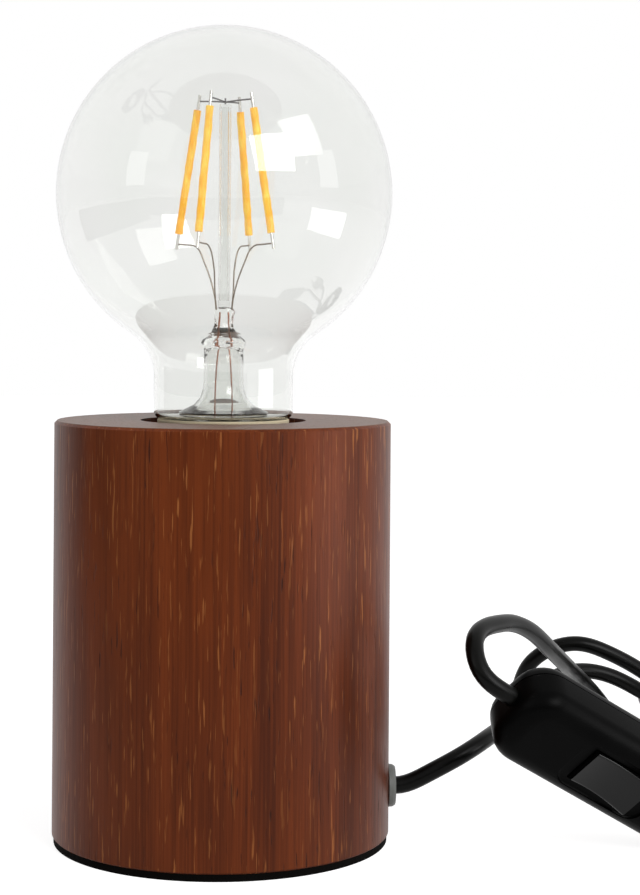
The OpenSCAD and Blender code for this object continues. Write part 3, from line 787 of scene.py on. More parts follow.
class Finish(Enum):
    """Every finish of the lamp, each a recipe that builds its material."""

    WOOD = StainedWood()
    FOAM = Moulding("black_foam", paint(7, 6, 5), 0.95, 0.00025, 1500, 0.05)
    GREY_RUBBER = Moulding("grey_grommet", paint(112, 114, 111), 0.5)
    NYLON = Moulding("white_nylon", paint(222, 220, 212), 0.45)
    LEAD = Moulding("black_lead", paint(6, 6, 5), 0.3, 0.000008, 1900, 0.09)
    CASE = Moulding("switch_case", paint(3, 3, 3), 0.34, 0.00002, 3200, 0.03)
    ROCKER = Moulding("gloss_rocker", paint(4, 4, 4), 0.12, 0.000002, 2600, 0.22)
    BAKELITE = Moulding("black_bakelite", paint(24, 21, 19), 0.24, 0.000006)
    STRAP = Moulding("black_strap", paint(26, 26, 27), 0.9, 0.00012, 1100)
    PORCELAIN = Moulding("white_porcelain", paint(232, 229, 220), 0.14, 0.000004)
    CEMENT = Moulding("beige_cement", paint(206, 192, 162), 0.8, 0.00006, 1700)
    BLACK_GLASS = Moulding("black_glass", paint(14, 14, 16), 0.08, 0.000003)
    BOARD = Moulding("circuit_board", paint(38, 92, 54), 0.38, 0.00001)
    BRASS = Metal("brass", (0.78, 0.56, 0.25, 1.0), 0.26)
    ZINC = Metal("zinc_plate", (0.66, 0.67, 0.70, 1.0), 0.32)
    NICKEL = Metal("nickel_plate", (0.72, 0.70, 0.66, 1.0), 0.2)
    WIRE = Metal("support_wire", (0.30, 0.25, 0.20, 1.0), 0.34)
    LINK = Metal("link_wire", (0.16, 0.15, 0.15, 1.0), 0.4)
    COPPER = Metal("copper_wire", (0.52, 0.25, 0.17, 1.0), 0.36)
    SOLDER = Metal("solder", (0.70, 0.70, 0.71, 1.0), 0.38, (1.0, 1.0, 1.0))
    GLASS = ClearGlass()
    COATING = Phosphor()


class Paintbox:
    """Builds each finish once and puts it on pieces."""

    def __init__(self) -> None:
        """Starts with no finish made."""
        self.made: dict[Finish, bpy.types.Material] = {}

    def material(self, finish: Finish) -> bpy.types.Material:
        """Builds a finish's material the first time that it is asked for.

        Args:
            finish: The finish.

        Returns:
            Its material.
        """
        if finish not in self.made:
            self.made[finish] = finish.value.build()
        return self.made[finish]

    def coat(self, piece: bpy.types.Object, finish: Finish) -> None:
        """Gives a piece, new or from the frame, one finish all over.

        Args:
            piece: The piece.
            finish: Its finish.
        """
        if not piece.material_slots:
            piece.data.materials.append(None)
        for slot in piece.material_slots:
            slot.material = self.material(finish)

    def coat_nodes(self, finish: Finish, *nodes: str) -> None:
        """Gives CAD nodes one finish.

        Args:
            finish: The finish.
            nodes: The nodes' names.
        """
        for name in nodes:
            self.coat(frame["nodes"][name], finish)
            log.info("finished %s in %s", name, finish.name.lower())

    def dress_piece(self, piece: bpy.types.Object, node: str, finish: Finish) -> None:
        """Puts a new piece in a CAD node's place: its finish and the body that it rides on.

        Args:
            piece: The new piece.
            node: The node that it stands for.
            finish: Its finish.
        """
        self.coat(piece, finish)
        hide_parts(node)
        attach(piece, frame["nodes"][node]["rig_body"])
        log.info("modelled %s for %s", piece.name, node)


# ---------------------------------------------------------------- free lead


@dataclass(frozen=True)
class SwitchPlace:
    """Where the in-line switch lies. Its own frame has x along it, y to its back and z up its face.

    Attributes:
        corner: Its frame's origin in metres.
        yaw: Its turn about the vertical, in degrees.
        pitch: How far its right end hangs down, in degrees.
        lean: How far it leans back, in degrees.
        length: Its length in metres.
        entry_height: The height of the cord entries in its frame.
    """

    corner: Vector = Vector((0.069, -0.031, 0.0365))
    yaw: float = -21
    pitch: float = 30
    lean: float = 38.5
    length: float = 0.070
    entry_height: float = 0.0145

    def turn(self) -> Matrix:
        """Returns its rotation."""
        yaw = Matrix.Rotation(math.radians(-self.yaw), 3, "Z")
        pitch = Matrix.Rotation(math.radians(self.pitch), 3, "Y")
        return yaw @ pitch @ Matrix.Rotation(math.radians(self.lean), 3, "X")

    def point(self, x: float, y: float, z: float) -> Vector:
        """Returns a point of its own frame in the lamp's frame."""
        return self.corner + self.turn() @ Vector((x, y, z))

    def place(self) -> Matrix:
        """Returns the matrix from its own frame to the lamp's."""
        return Matrix.Translation(self.corner) @ self.turn().to_4x4()

    def left_entry(self) -> Vector:
        """Returns the middle of its left cord entry."""
        return self.point(0, 0, self.entry_height)

    def right_entry(self) -> Vector:
        """Returns the middle of its right cord entry."""
        return self.point(self.length, 0, self.entry_height)

    def along(self) -> Vector:
        """Returns the direction from its left end to its right."""
        return self.turn() @ ACROSS


@dataclass(frozen=True)
class Coil:
    """The put-away length: layers of turns that spiral in and out again.

    Attributes:
        middle: The coil's axis, x and y in metres.
        outer: The radius of the outermost turn.
        step: The distance between neighbouring turns.
        layers: How many layers it has.
        turns: How many turns it has in all.
        start: The angle at which it starts, in degrees.
        cord: The cord's diameter.
    """

    middle: tuple[float, float] = (0.181, 0.1325)
    outer: float = 0.0325
    step: float = 0.0056
    layers: int = 4
    turns: float = 5.75
    start: float = 270
    cord: float = 0.005

    def radius(self, t: float) -> float:
        """Finds the centreline's distance from the axis.

        Args:
            t: How many turns lie before that point.

        Returns:
            The radius.
        """
        each = self.turns / self.layers
        layer = min(math.floor(t / each), self.layers - 1)
        inward = t - layer * each
        inner = self.outer - self.step * each
        return self.outer - self.step * inward if layer % 2 == 0 else inner + self.step * inward

    def height(self, t: float) -> float:
        """Finds the centreline's height, which sinks by a layer over each smooth half turn.

        Args:
            t: How many turns lie before that point.

        Returns:
            The height.
        """
        each = self.turns / self.layers
        level = self.layers - 1.0
        for layer in range(1, self.layers):
            share = ramp(t, layer * each - 0.25, 0.5)
            level -= share * share * (3 - 2 * share)
        return self.cord / 2 + self.step * level

    def point(self, t: float) -> Vector:
        """Returns the centreline's point after t turns."""
        angle = math.radians(self.start + 360 * t)
        x, y = self.middle
        r = self.radius(t)
        return Vector((x + r * math.cos(angle), y + r * math.sin(angle), self.height(t)))

    def line(self, per_turn: int = 24) -> list[Vector]:
        """Returns the centreline's points, that many to a turn."""
        count = round(self.turns * per_turn)
        return [self.point(self.turns * i / count) for i in range(count + 1)]


@dataclass(frozen=True)
class Lead:
    """The round two-core lead: from the lamp to the switch, and on through its coil to the plug.

    Attributes:
        thick: The lead's diameter in metres.
        exit: Where it leaves the lamp.
        to_switch: Its points between the lamp and the switch, in metres.
        to_coil: Its points between the switch and the coil.
        to_plug: Its points between the coil and the plug.
        first_length: Its length from the lamp to the switch.
        second_length: Its length from the switch to the plug.
        rounds: How often its directions are evened out.
    """

    thick: float = 0.005
    exit: Vector = Vector((0.0494, 0, 0.0143))
    to_switch: tuple[tuple[float, float, float], ...] = (
        (.059, .0005, .0175), (.0675, .0025, .0215), (.075, .0085, .0245), (.080, .017, .0255),
        (.084, .026, .0255), (.087, .0355, .0255), (.090, .045, .026), (.094, .054, .027),
        (.098, .063, .028), (.1035, .0715, .030), (.1095, .079, .0315), (.118, .0845, .032),
        (.1275, .086, .030), (.136, .0845, .026), (.1445, .080, .021), (.151, .073, .016),
        (.156, .065, .0115), (.159, .056, .0075), (.1605, .0465, .0045), (.161, .037, .003),
        (.161, .0275, .0025), (.161, .018, .0025), (.161, .0085, .0025), (.1595, .0005, .0025),
        (.155, -.006, .003), (.148, -.0105, .0043), (.1415, -.013, .007),
    )
    to_coil: tuple[tuple[float, float, float], ...] = (
        (.070, -.0375, .052), (.068, -.032, .0595), (.0715, -.0235, .0625), (.0765, -.0155, .0625),
        (.0815, -.0075, .0615), (.0865, 0, .059), (.091, .0075, .0555), (.095, .015, .0515),
        (.0985, .023, .048), (.102, .031, .0445), (.105, .0395, .0415), (.1075, .048, .039),
        (.1105, .056, .036), (.1135, .0645, .033), (.1175, .072, .029), (.122, .079, .024),
        (.127, .084, .0175), (.1315, .0895, .011), (.135, .097, .0055), (.136, .107, .0025),
        (.131, .116, .0025), (.1225, .121, .0026), (.113, .121, .0045), (.1055, .117, .009),
        (.101, .111, .016), (.1005, .105, .024), (.103, .1005, .0315), (.1095, .0975, .037),
        (.1185, .096, .039), (.1285, .096, .036), (.138, .097, .031), (.147, .0985, .0255),
        (.156, .0995, .022), (.1655, .100, .020), (.176, .100, .0193),
    )
    to_plug: tuple[tuple[float, float, float], ...] = (
        (.1485, .1275, .0025), (.1485, .117, .0025), (.150, .1065, .0025), (.1535, .0965, .0025),
        (.159, .0875, .0025), (.166, .080, .0025), (.1735, .073, .0025), (.180, .0655, .0025),
        (.1845, .0565, .0045), (.186, .046, .007),
    )
    first_length: float = 0.271
    second_length: float = 1.476
    rounds: int = 30

    def headings(self, points: list[Vector], ends: tuple[Vector, Vector]) -> list[Vector]:
        """Finds the line's direction at each point so that its bend changes evenly.

        Args:
            points: The points that the line passes through.
            ends: Its direction at its first and at its last point.

        Returns:
            The change of place for each metre of chord, at each point.
        """
        spans = [(b - a).length for a, b in zip(points, points[1:])]
        slopes = [(b - a) / span for a, b, span in zip(points, points[1:], spans)]
        found = [ends[0]] + [(a + b) / 2 for a, b in zip(slopes, slopes[1:])] + [ends[1]]
        for _ in range(self.rounds):
            for i in range(1, len(points) - 1):
                before, after = spans[i - 1], spans[i]
                pull = (slopes[i - 1] * after + slopes[i] * before) * 3
                pull = pull - found[i - 1] * after - found[i + 1] * before
                found[i] = pull / (2 * (before + after))
        return found

    def tube(self, name: str, points: list[Vector], ends: tuple[Vector, Vector]) -> bpy.types.Object:
        """Draws one stretch as a curve of one open spline.

        Args:
            name: The piece's name.
            points: The points that it passes through.
            ends: Its direction at its first and at its last point.

        Returns:
            The curve, as thick as the lead.
        """
        curve = bpy.data.curves.new(name, "CURVE")
        curve.dimensions = "3D"
        curve.bevel_depth = self.thick / 2
        curve.bevel_resolution = 6
        curve.resolution_u = 6
        curve.use_fill_caps = True
        spline = curve.splines.new("BEZIER")
        spline.bezier_points.add(len(points) - 1)
        reach = [(b - a).length / 3 for a, b in zip(points, points[1:])]
        headings = self.headings(points, ends)
        for i, (knot, place, heading) in enumerate(zip(spline.bezier_points, points, headings)):
            knot.handle_left_type = knot.handle_right_type = "FREE"
            knot.co = place
            knot.handle_left = place - heading * reach[max(i - 1, 0)]
            knot.handle_right = place + heading * reach[min(i, len(reach) - 1)]
        piece = bpy.data.objects.new(name, curve)
        bpy.context.scene.collection.objects.link(piece)
        return piece

    def lay(
        self,
        paints: Paintbox,
        switch: SwitchPlace,
        coil: Coil,
    ) -> None:
        """Lays both stretches where the CAD solids lie.

        Args:
            paints: The finishes.
            switch: Where the switch lies.
            coil: The put-away coil.
        """
        first = self.tube(
            "lead_to_switch",
            [self.exit, *map(Vector, self.to_switch), switch.right_entry()],
            (ACROSS, -switch.along()),
        )
        second = self.tube(
            "lead_to_plug",
            [switch.left_entry(), *map(Vector, self.to_coil), *coil.line()[1:],
             *map(Vector, self.to_plug)],
            (-switch.along(), -BACK),
        )
        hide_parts("cord_lamp_to_switch")
        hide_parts("cord_switch_to_coil", "cord_coil", "cord_coil_to_plug")
        for piece in (first, second):
            paints.coat(piece, Finish.LEAD)
            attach(piece, "base")
            log.info("laid %s", piece.name)
        switch.left_entry()


# ---------------------------------------------------------------- sub-assemblies


class WoodenBase:
    """The turned base with its pad, grommet, cord stop and inner lead."""

    def dress(self, paints: Paintbox) -> None:
        """Finishes the base's pieces.

        Args:
            paints: The finishes.
        """
        paints.coat_nodes(Finish.WOOD, "wood_base")
        paints.coat_nodes(Finish.FOAM, "base_pad")
        paints.coat_nodes(Finish.GREY_RUBBER, "cord_grommet")
        paints.coat_nodes(Finish.NYLON, "cord_stop")
        paints.coat_nodes(Finish.ZINC, "cord_stop_screws")
        paints.coat_nodes(Finish.LEAD, "inner_lead")


@dataclass(frozen=True)
class Lampholder:
    """The holder sunk in the base's top.

    Attributes:
        shell_r: Its threaded shell's mean radius in metres.
        depth: How far the thread runs to each side of it.
        span: The heights of the thread's ends.
        sheet: The shell's thickness, below 0 because it lies outside the rolled face.
    """

    shell_r: float = 0.01295
    depth: float = 0.00045
    span: tuple[float, float] = (0.0930, 0.1096)
    sheet: float = -0.00035

    def dress(self, paints: Paintbox) -> None:
        """Rolls the threaded shell and finishes the holder's pieces.

        Args:
            paints: The finishes.
        """
        paints.coat_nodes(Finish.BAKELITE, "holder_cap", "holder_skirt")
        paints.coat_nodes(Finish.PORCELAIN, "holder_insert")
        paints.coat_nodes(Finish.ZINC, "nipple_washer", "terminal_screws")
        paints.coat_nodes(
            Finish.BRASS, "holder_nipple", "nipple_nut", "holder_centre_contact", "holder_terminals",
        )
        shell = join_pieces(
            cut_thread("threaded_holder_shell", self.shell_r, self.depth, self.span, self.sheet),
            turn_on_lathe("shell_foot", millimetres(
                (9.9, 90.1), (13.3, 90.1), (13.3, 93.3), (12.9, 93.3), (12.9, 90.5), (9.9, 90.5),
                (9.9, 90.1),
            ), 64),
        )
        paints.dress_piece(shell, "holder_screw_shell", Finish.BRASS)


@dataclass(frozen=True)
class GlobeBulb:
    """The globe bulb with its four upright filaments. Heights are above the neck's end, in metres.

    Attributes:
        neck_end: The height of the neck's end above the table.
        globe_r: The globe's radius.
        rise: The height of the globe's middle.
        neck_r: The neck's radius.
        sweep: The radius of the sweep from neck to globe.
        corner: The radius of the rounding at the neck's end.
        mouth_r: The radius of the opening in the neck's end.
        wall: The glass's thickness.
        flatten: How much of its depth the pinch loses, as a share.
        feet: The filament feet's distance from the axis and height.
        tops: The filament tops' distance from the axis and height.
        turn: The angle of the first filament, in degrees.
        rod: The filaments' diameter.
        wire: The wires' diameter.
        stand: Where a support wire leaves the pinch: to the side, to the back and up.
        lean: How it goes on from there, the same ways.
        bends: The support wires' bends, each as its distance from the axis and its height.
        link_bend: The upper wires' bend, the same way.
        wire_ends: How far beyond a filament's foot and top the wires end.
        hub: The height at which the upper wires meet.
        knot: How far their joint reaches below and above the hub.
        tab: The tabs' diameter.
        tab_root: How far the tabs reach into the filaments.
        tab_ends: How far the tabs stand out at a filament's foot and top.
        lead_line: The line of a lead wire: to the side, to the back and up.
        cap_r: The cap's mean radius.
        cap_depth: How far its thread runs to each side of it.
        cap_span: The heights of its thread's ends above the table.
        cap_sheet: Its thickness.
    """

    neck_end: float = 0.1184
    globe_r: float = 0.0475
    rise: float = 0.0637
    neck_r: float = 0.0197
    sweep: float = 0.014
    corner: float = 0.0022
    mouth_r: float = 0.0125
    wall: float = 0.0008
    flatten: float = 0.44
    feet: tuple[float, float] = (0.0149, 0.0525)
    tops: tuple[float, float] = (0.009, 0.0877)
    turn: float = 61.5
    rod: float = 0.0022
    wire: float = 0.00046
    stand: tuple[float, float, float] = (0.0022, 0.0008, 0.0308)
    lean: tuple[float, float, float] = (0.0003, 0.0003, 0.003)
    bends: tuple[tuple[float, float], ...] = ((0.0066, 0.0445), (0.0092, 0.0487), (0.0125, 0.0493))
    link_bend: tuple[float, float] = (0.0035, 0.0900)
    wire_ends: tuple[float, float] = (0.0030, 0.0026)
    hub: float = 0.0897
    knot: tuple[float, float] = (0.0006, 0.0011)
    tab: float = 0.0009
    tab_root: float = 0.0004
    tab_ends: tuple[float, float] = (0.0046, 0.0044)
    lead_line: tuple[tuple[float, float, float], ...] = (
        (0.0011, 0.0002, 0.0301), (0.0012, 0, 0.0255), (0.0017, 0, 0.0195), (0.0024, 0, 0.006),
        (0.0024, 0, -0.0065),
    )
    cap_r: float = 0.0126
    cap_depth: float = 0.0005
    cap_span: tuple[float, float] = (0.0972, 0.1159)
    cap_sheet: float = 0.0003

    def blow_globe(self) -> bpy.types.Object:
        """Turns the globe and neck and gives them their wall.

        Returns:
            The glass.
        """
        foot = self.neck_end
        sweep_x = self.neck_r + self.sweep
        drop = math.sqrt((self.globe_r + self.sweep) ** 2 - sweep_x ** 2)
        tangent = math.degrees(math.atan2(drop, sweep_x))
        outline = [Vector((self.mouth_r, 0, foot)), Vector((self.neck_r - self.corner - 0.002, 0, foot))]
        outline += arc(Vector((self.neck_r - self.corner, 0, foot + self.corner)), self.corner, -90, 0, 6)
        outline += arc(Vector((sweep_x, 0, foot + self.rise - drop)), self.sweep, 180, 180 - tangent, 14)
        outline += arc(Vector((0, 0, foot + self.rise)), self.globe_r, -tangent, 90, 64)[1:]
        globe = turn_on_lathe("blown_globe", outline, 160)
        modify(globe, "SOLIDIFY", thickness=self.wall, offset=-1, use_even_offset=True)
        tidy_mesh(globe, 60)
        return globe

    def draw_stem(self) -> bpy.types.Object:
        """Turns the flared stem tube, then flattens and crumples its upper end into the pinch.

        Returns:
            The stem.
        """
        stem = turn_on_lathe("flared_stem", millimetres(
            (0, 21.4), (2.6, 21.3), (4.0, 20.7), (4.7, 19.5), (4.7, 15), (4.7, 10), (5.0, 7.5), (6.0, 5),
            (8.0, 3), (10.4, 2.1), (12.6, 1.3), (12.7, 1.9), (10.6, 2.9), (8.4, 4.0), (6.6, 6),
            (5.8, 8.5), (5.6, 11), (5.6, 15), (5.6, 19.6), (5.9, 21.0), (6.2, 22.2), (5.9, 23.2),
            (4.9, 24.0), (3.7, 24.7), (3.0, 25.7), (2.8, 27), (2.8, 28.6), (2.9, 30.2), (2.4, 31.2),
            (0, 31.4),
            foot=self.neck_end,
        ), 48)
        soft = stem.vertex_groups.new(name="soft_glass")
        for vertex in stem.data.vertices:
            height = vertex.co.z - self.neck_end
            vertex.co.y *= 1 - self.flatten * ramp(height, 0.0222, 0.003)
            soft.add([vertex.index], ramp(height, 0.0205, 0.0015), "REPLACE")
        crumple(stem, "glass_folds", 0.0024, 0.0014, vertex_group=soft.name)
        tidy_mesh(stem, 60)
        return stem

    def polar(self, radius: float, filament: int, height: float) -> Vector:
        """Returns a point at a distance from the axis, on one filament's side of the bulb."""
        angle = math.radians(self.turn + 90 * filament)
        return Vector((radius * math.cos(angle), radius * math.sin(angle), self.neck_end + height))

    def rod_ends(self, filament: int) -> tuple[Vector, Vector]:
        """Returns the foot and the top of one filament."""
        foot, top = (self.polar(radius, filament, height) for radius, height in (self.feet, self.tops))
        return foot, top

    def hang_filaments(self) -> dict[str, bpy.types.Object]:
        """Draws the filaments' wires, each set standing for its node.

        Returns:
            The new pieces by the node that they replace.
        """
        supports, links, tabs = [], [], []
        hub = UP * (self.neck_end + self.hub)
        for i in range(4):
            foot, top = self.rod_ends(i)
            along = (top - foot).normalized()
            angle = math.radians(self.turn + 90 * i)
            side, back = math.copysign(1, math.cos(angle)), math.copysign(1, math.sin(angle))
            stand, lean = (Vector((side * x, back * y, z)) for x, y, z in (self.stand, self.lean))
            stand.z += self.neck_end
            supports.append([
                stand, stand + lean, *(self.polar(radius, i, height) for radius, height in self.bends),
                foot - along * self.wire_ends[0],
            ])
            links.append([
                hub, self.polar(self.link_bend[0], i, self.link_bend[1]), top + along * self.wire_ends[1],
            ])
            tabs.append([foot + along * self.tab_root, foot - along * self.tab_ends[0]])
            tabs.append([top - along * self.tab_root, top + along * self.tab_ends[1]])
        links.append([hub - UP * self.knot[0], hub + UP * self.knot[1]])
        leads = [
            [Vector((side * x, y, self.neck_end + z)) for x, y, z in self.lead_line] for side in (-1, 1)
        ]
        return {
            "support_wires": draw_wires("bent_supports", supports, self.wire),
            "top_link_wires": draw_wires("link_wires", links, self.wire),
            "filament_tabs": draw_wires("welded_tabs", tabs, self.tab),
            "lead_wires": draw_wires("sealed_leads", leads, self.wire),
        }

    def coat_rods(self) -> dict[str, bpy.types.Object]:
        """Models the four coated rods, a little uneven like dipped ones.

        Returns:
            The rods by the node that they replace.
        """
        rods = {}
        for i in range(4):
            foot, top = self.rod_ends(i)
            line = [foot.lerp(top, t / 12) for t in range(13)]
            rod = draw_wires(f"coated_rod_{i + 1}", [line], self.rod)
            crumple(rod, "coating_drops", 0.003, 0.0004)
            rods[f"led_filament_{i + 1}"] = rod
        return rods

    def spread_cement(self) -> bpy.types.Object:
        """Turns the beige collar that holds the glass in its cap."""
        return turn_on_lathe("cement_collar", millimetres(
            (9, -1.5), (18.0, -1.5), (18.6, -1.1), (18.7, -0.3), (18.4, -0.02), (9, -0.02), (9, -1.5),
            foot=self.neck_end,
        ), 96)

    def roll_cap(self) -> bpy.types.Object:
        """Rolls the cap's threaded shell and turns its two ends.

        Returns:
            The cap.
        """
        return join_pieces(
            cut_thread("threaded_cap_shell", self.cap_r, self.cap_depth, self.cap_span, self.cap_sheet),
            turn_on_lathe("cap_ends", millimetres(
                (12.3, 97.4), (12.1, 96.9), (9.5, 94.95), (8.9, 94.95), (8.9, 95.3), (11.7, 97.4),
                (12.3, 97.4),
            ), 64),
            turn_on_lathe("cap_rim", millimetres(
                (12.55, 115.7), (12.75, 116.2), (12.75, 116.88), (12.3, 116.88), (12.3, 115.7),
                (12.55, 115.7),
            ), 64),
        )

    def dress(self, paints: Paintbox) -> None:
        """Models the bulb's glass, wires, filaments and cap and finishes every piece.

        Args:
            paints: The finishes.
        """
        for name, piece, finish in (
            ("bulb_glass", self.blow_globe(), Finish.GLASS),
            ("bulb_stem", self.draw_stem(), Finish.GLASS),
            ("bulb_cement", self.spread_cement(), Finish.CEMENT),
        ):
            paints.dress_piece(piece, name, finish)
        wires = self.hang_filaments()
        for name, finish in (
            ("support_wires", Finish.WIRE), ("top_link_wires", Finish.LINK),
            ("filament_tabs", Finish.NICKEL), ("lead_wires", Finish.COPPER),
        ):
            paints.dress_piece(wires[name], name, finish)
        for name, rod in self.coat_rods().items():
            paints.dress_piece(rod, name, Finish.COATING)
        paints.dress_piece(self.roll_cap(), "bulb_cap_shell", Finish.NICKEL)
        paints.coat_nodes(Finish.GLASS, "bulb_centre_tube")
        paints.coat_nodes(Finish.BOARD, "bulb_driver")
        paints.coat_nodes(Finish.BLACK_GLASS, "bulb_cap_insulator")
        paints.coat_nodes(Finish.SOLDER, "bulb_tip")


@dataclass(frozen=True)
class Opening:
    """A hollow or a hole in the switch's face, round its rocker.

    Attributes:
        name: Its name.
        along: How far it reaches beyond the rocker's ends, in metres.
        across: How far it reaches beyond the rocker's sides.
        into: How deep it goes.
        corner: The radius of its corners.
        edge: The radius of its edges.
        steps: How many faces a rounding has.
    """

    name: str
    along: float
    across: float
    into: float
    corner: float
    edge: float
    steps: int


@dataclass(frozen=True)
class InlineSwitch:
    """The rocker switch in the lead, modelled in its own frame: x along it, y to its back, z up its face.

    Attributes:
        where: Where it lies, and how long it is.
        deep: Half the housing's depth.
        tall: The housing's height up its face.
        corner: The radius of its face's corners.
        edge: The radius of its long edges.
        wall: Its wall.
        seam: How far behind the middle its two halves meet.
        shadow_gap: The width of the line between them.
        pivot: The middle of the rocker's trunnions.
        half: Half the rocker's length and half its width.
        tilt: The rocker's angle at rest, in degrees.
        crown: How far the middle of the rocker's face stands above its trunnions.
        dish: How much further its ends do.
        face: Half the length of that face.
        end_arc: The angle of its round ends, in degrees.
        pin: The trunnions' radius, and how far they stand out.
        bore: The cord entries' radius.
        post: The screw posts' radius.
        inset: The screw posts' distance from the housing's ends.
        openings: The scoop round the rocker, and its window.
    """

    where: SwitchPlace
    deep: float = 0.009
    tall: float = 0.026
    corner: float = 0.0092
    edge: float = 0.0058
    wall: float = 0.0018
    seam: float = 0.003
    shadow_gap: float = 0.0002
    pivot: Vector = Vector((0.036, -0.0056, 0.0125))
    half: tuple[float, float] = (0.0105, 0.006)
    tilt: float = -7
    crown: float = 0.0034
    dish: float = 0.0013
    face: float = 0.0094
    end_arc: float = 26.6
    pin: float = 0.0015
    bore: float = 0.00265
    post: float = 0.0025
    inset: float = 0.0095
    openings: tuple[Opening, ...] = (
        Opening("scoop", along=0.0042, across=0.0024, into=0.0012, corner=0.0045, edge=0.0011, steps=6),
        Opening("window", along=0.0003, across=0.0003, into=0.006, corner=0.0006, edge=0, steps=3),
    )

    def mould_half(self, name: str, away: Vector) -> bpy.types.Object:
        """Models one half of the housing as a shell with its cord entries.

        Args:
            name: The new piece's name.
            away: The arrow that points to the other half.

        Returns:
            The half.
        """
        low = Vector((0, -self.deep, 0))
        high = Vector((self.where.length, self.deep, self.tall))
        shell = round_block(name, low, high, self.corner, self.edge)
        trim(shell, BACK * self.seam - away * self.shadow_gap / 2, away)
        modify(shell, "SOLIDIFY", thickness=self.wall, offset=-1, use_even_offset=True)
        tidy_mesh(shell)
        for x in (-0.001, self.where.length - 0.006):
            start = Vector((x, 0, self.where.entry_height))
            cut_out(shell, round_bar("bore", start, start + ACROSS * 0.007, self.bore))
        return shell

    def mould_inside(self) -> list[bpy.types.Object]:
        """Models the cheeks that hold the trunnions, and the screw posts.

        Returns:
            The cheeks and posts, each rooted a little inside the housing's wall.
        """
        mid = self.pivot
        root = self.wall - 0.0004 - self.deep
        found = []
        for side in (-1, 1):
            middle = mid.z + side * (self.half[1] + 0.0014)
            low = Vector((mid.x - 0.005, root, middle - 0.001))
            high = Vector((mid.x + 0.005, root + 0.0056, middle + 0.001))
            found.append(round_block("cheek", low, high, 0.0004, 0, 2))
        for x in (self.inset, self.where.length - self.inset):
            start = Vector((x, root, self.tall / 2 - 0.005))
            found.append(round_bar("post", start, Vector((x, self.seam, start.z)), self.post))
        return found

    def mould_front(self) -> bpy.types.Object:
        """Models the front half with its scooped surround, rocker window, cheeks and screw posts.

        Returns:
            The front half.
        """
        front = self.mould_half("switch_front", BACK)
        long, wide = self.half
        mid = self.pivot
        for hole in self.openings:
            low = Vector((mid.x - long - hole.along, -self.deep - 0.006, mid.z - wide - hole.across))
            high = Vector((mid.x + long + hole.along, -self.deep + hole.into, mid.z + wide + hole.across))
            cut_out(front, round_block(hole.name, low, high, hole.corner, hole.edge, hole.steps))
        front = join_pieces(front, *self.mould_inside())
        tidy_mesh(front)
        return front

    def mould_rocker(self) -> bpy.types.Object:
        """Models the glossy rocker: dished towards its middle, its edges rounded, on two trunnions.

        Returns:
            The rocker.
        """
        long, wide = self.half
        top = [
            Vector((x, -self.crown - self.dish * (x / self.face) ** 2, -wide))
            for x in (self.face * (i / 8 - 1) for i in range(17))
        ]
        side = [
            Vector((long * math.cos(a), long * math.sin(a), -wide))
            for a in (math.radians(self.end_arc * (i / 4 - 1)) for i in range(1, 5))
        ]
        side.append(Vector((long - 0.0004, 0.0026, -wide)))
        mirrored = [Vector((-p.x, p.y, p.z)) for p in reversed(side)]
        rocker = draw_outline("gloss_rocker", top + side + mirrored, closed=True)
        take_up(rocker)
        bpy.ops.object.mode_set(mode="EDIT")
        bpy.ops.mesh.select_all(action="SELECT")
        bpy.ops.mesh.extrude_region_move(TRANSFORM_OT_translate={"value": (0, 0, 2 * wide)})
        bpy.ops.object.mode_set(mode="OBJECT")
        tidy_mesh(rocker)
        bevel_edges(rocker, lambda a, b: abs(a.z - b.z) < NEAR, 0.0007, 4)
        reach = wide + self.pin
        rocker = join_pieces(rocker, round_bar("pins", UP * -reach, UP * reach, self.pin))
        tidy_mesh(rocker, 28)
        tilt = Matrix.Rotation(math.radians(self.tilt), 4, "Z")
        return settle(rocker, Matrix.Translation(self.pivot) @ tilt)

    def dress(self, paints: Paintbox) -> list[bpy.types.Object]:
        """Models the switch's housing and rocker and finishes every piece.

        Args:
            paints: The finishes.

        Returns:
            All of the switch's pieces.
        """
        front, rocker = self.mould_front(), self.mould_rocker()
        back = self.mould_half("switch_back", -BACK)
        for name, piece, finish in (
            ("switch_front_cover", front, Finish.CASE),
            ("switch_back_cover", back, Finish.CASE),
            ("switch_rocker", rocker, Finish.ROCKER),
        ):
            paints.dress_piece(settle(piece, self.where.place()), name, finish)
        paints.coat_nodes(Finish.ZINC, "switch_screws")
        paints.coat_nodes(Finish.BRASS, "switch_terminals")
        paints.coat_nodes(Finish.LEAD, "switch_leads")
        kept = [frame["nodes"][name] for name in ("switch_screws", "switch_terminals", "switch_leads")]
        return [front, back, rocker, *kept]


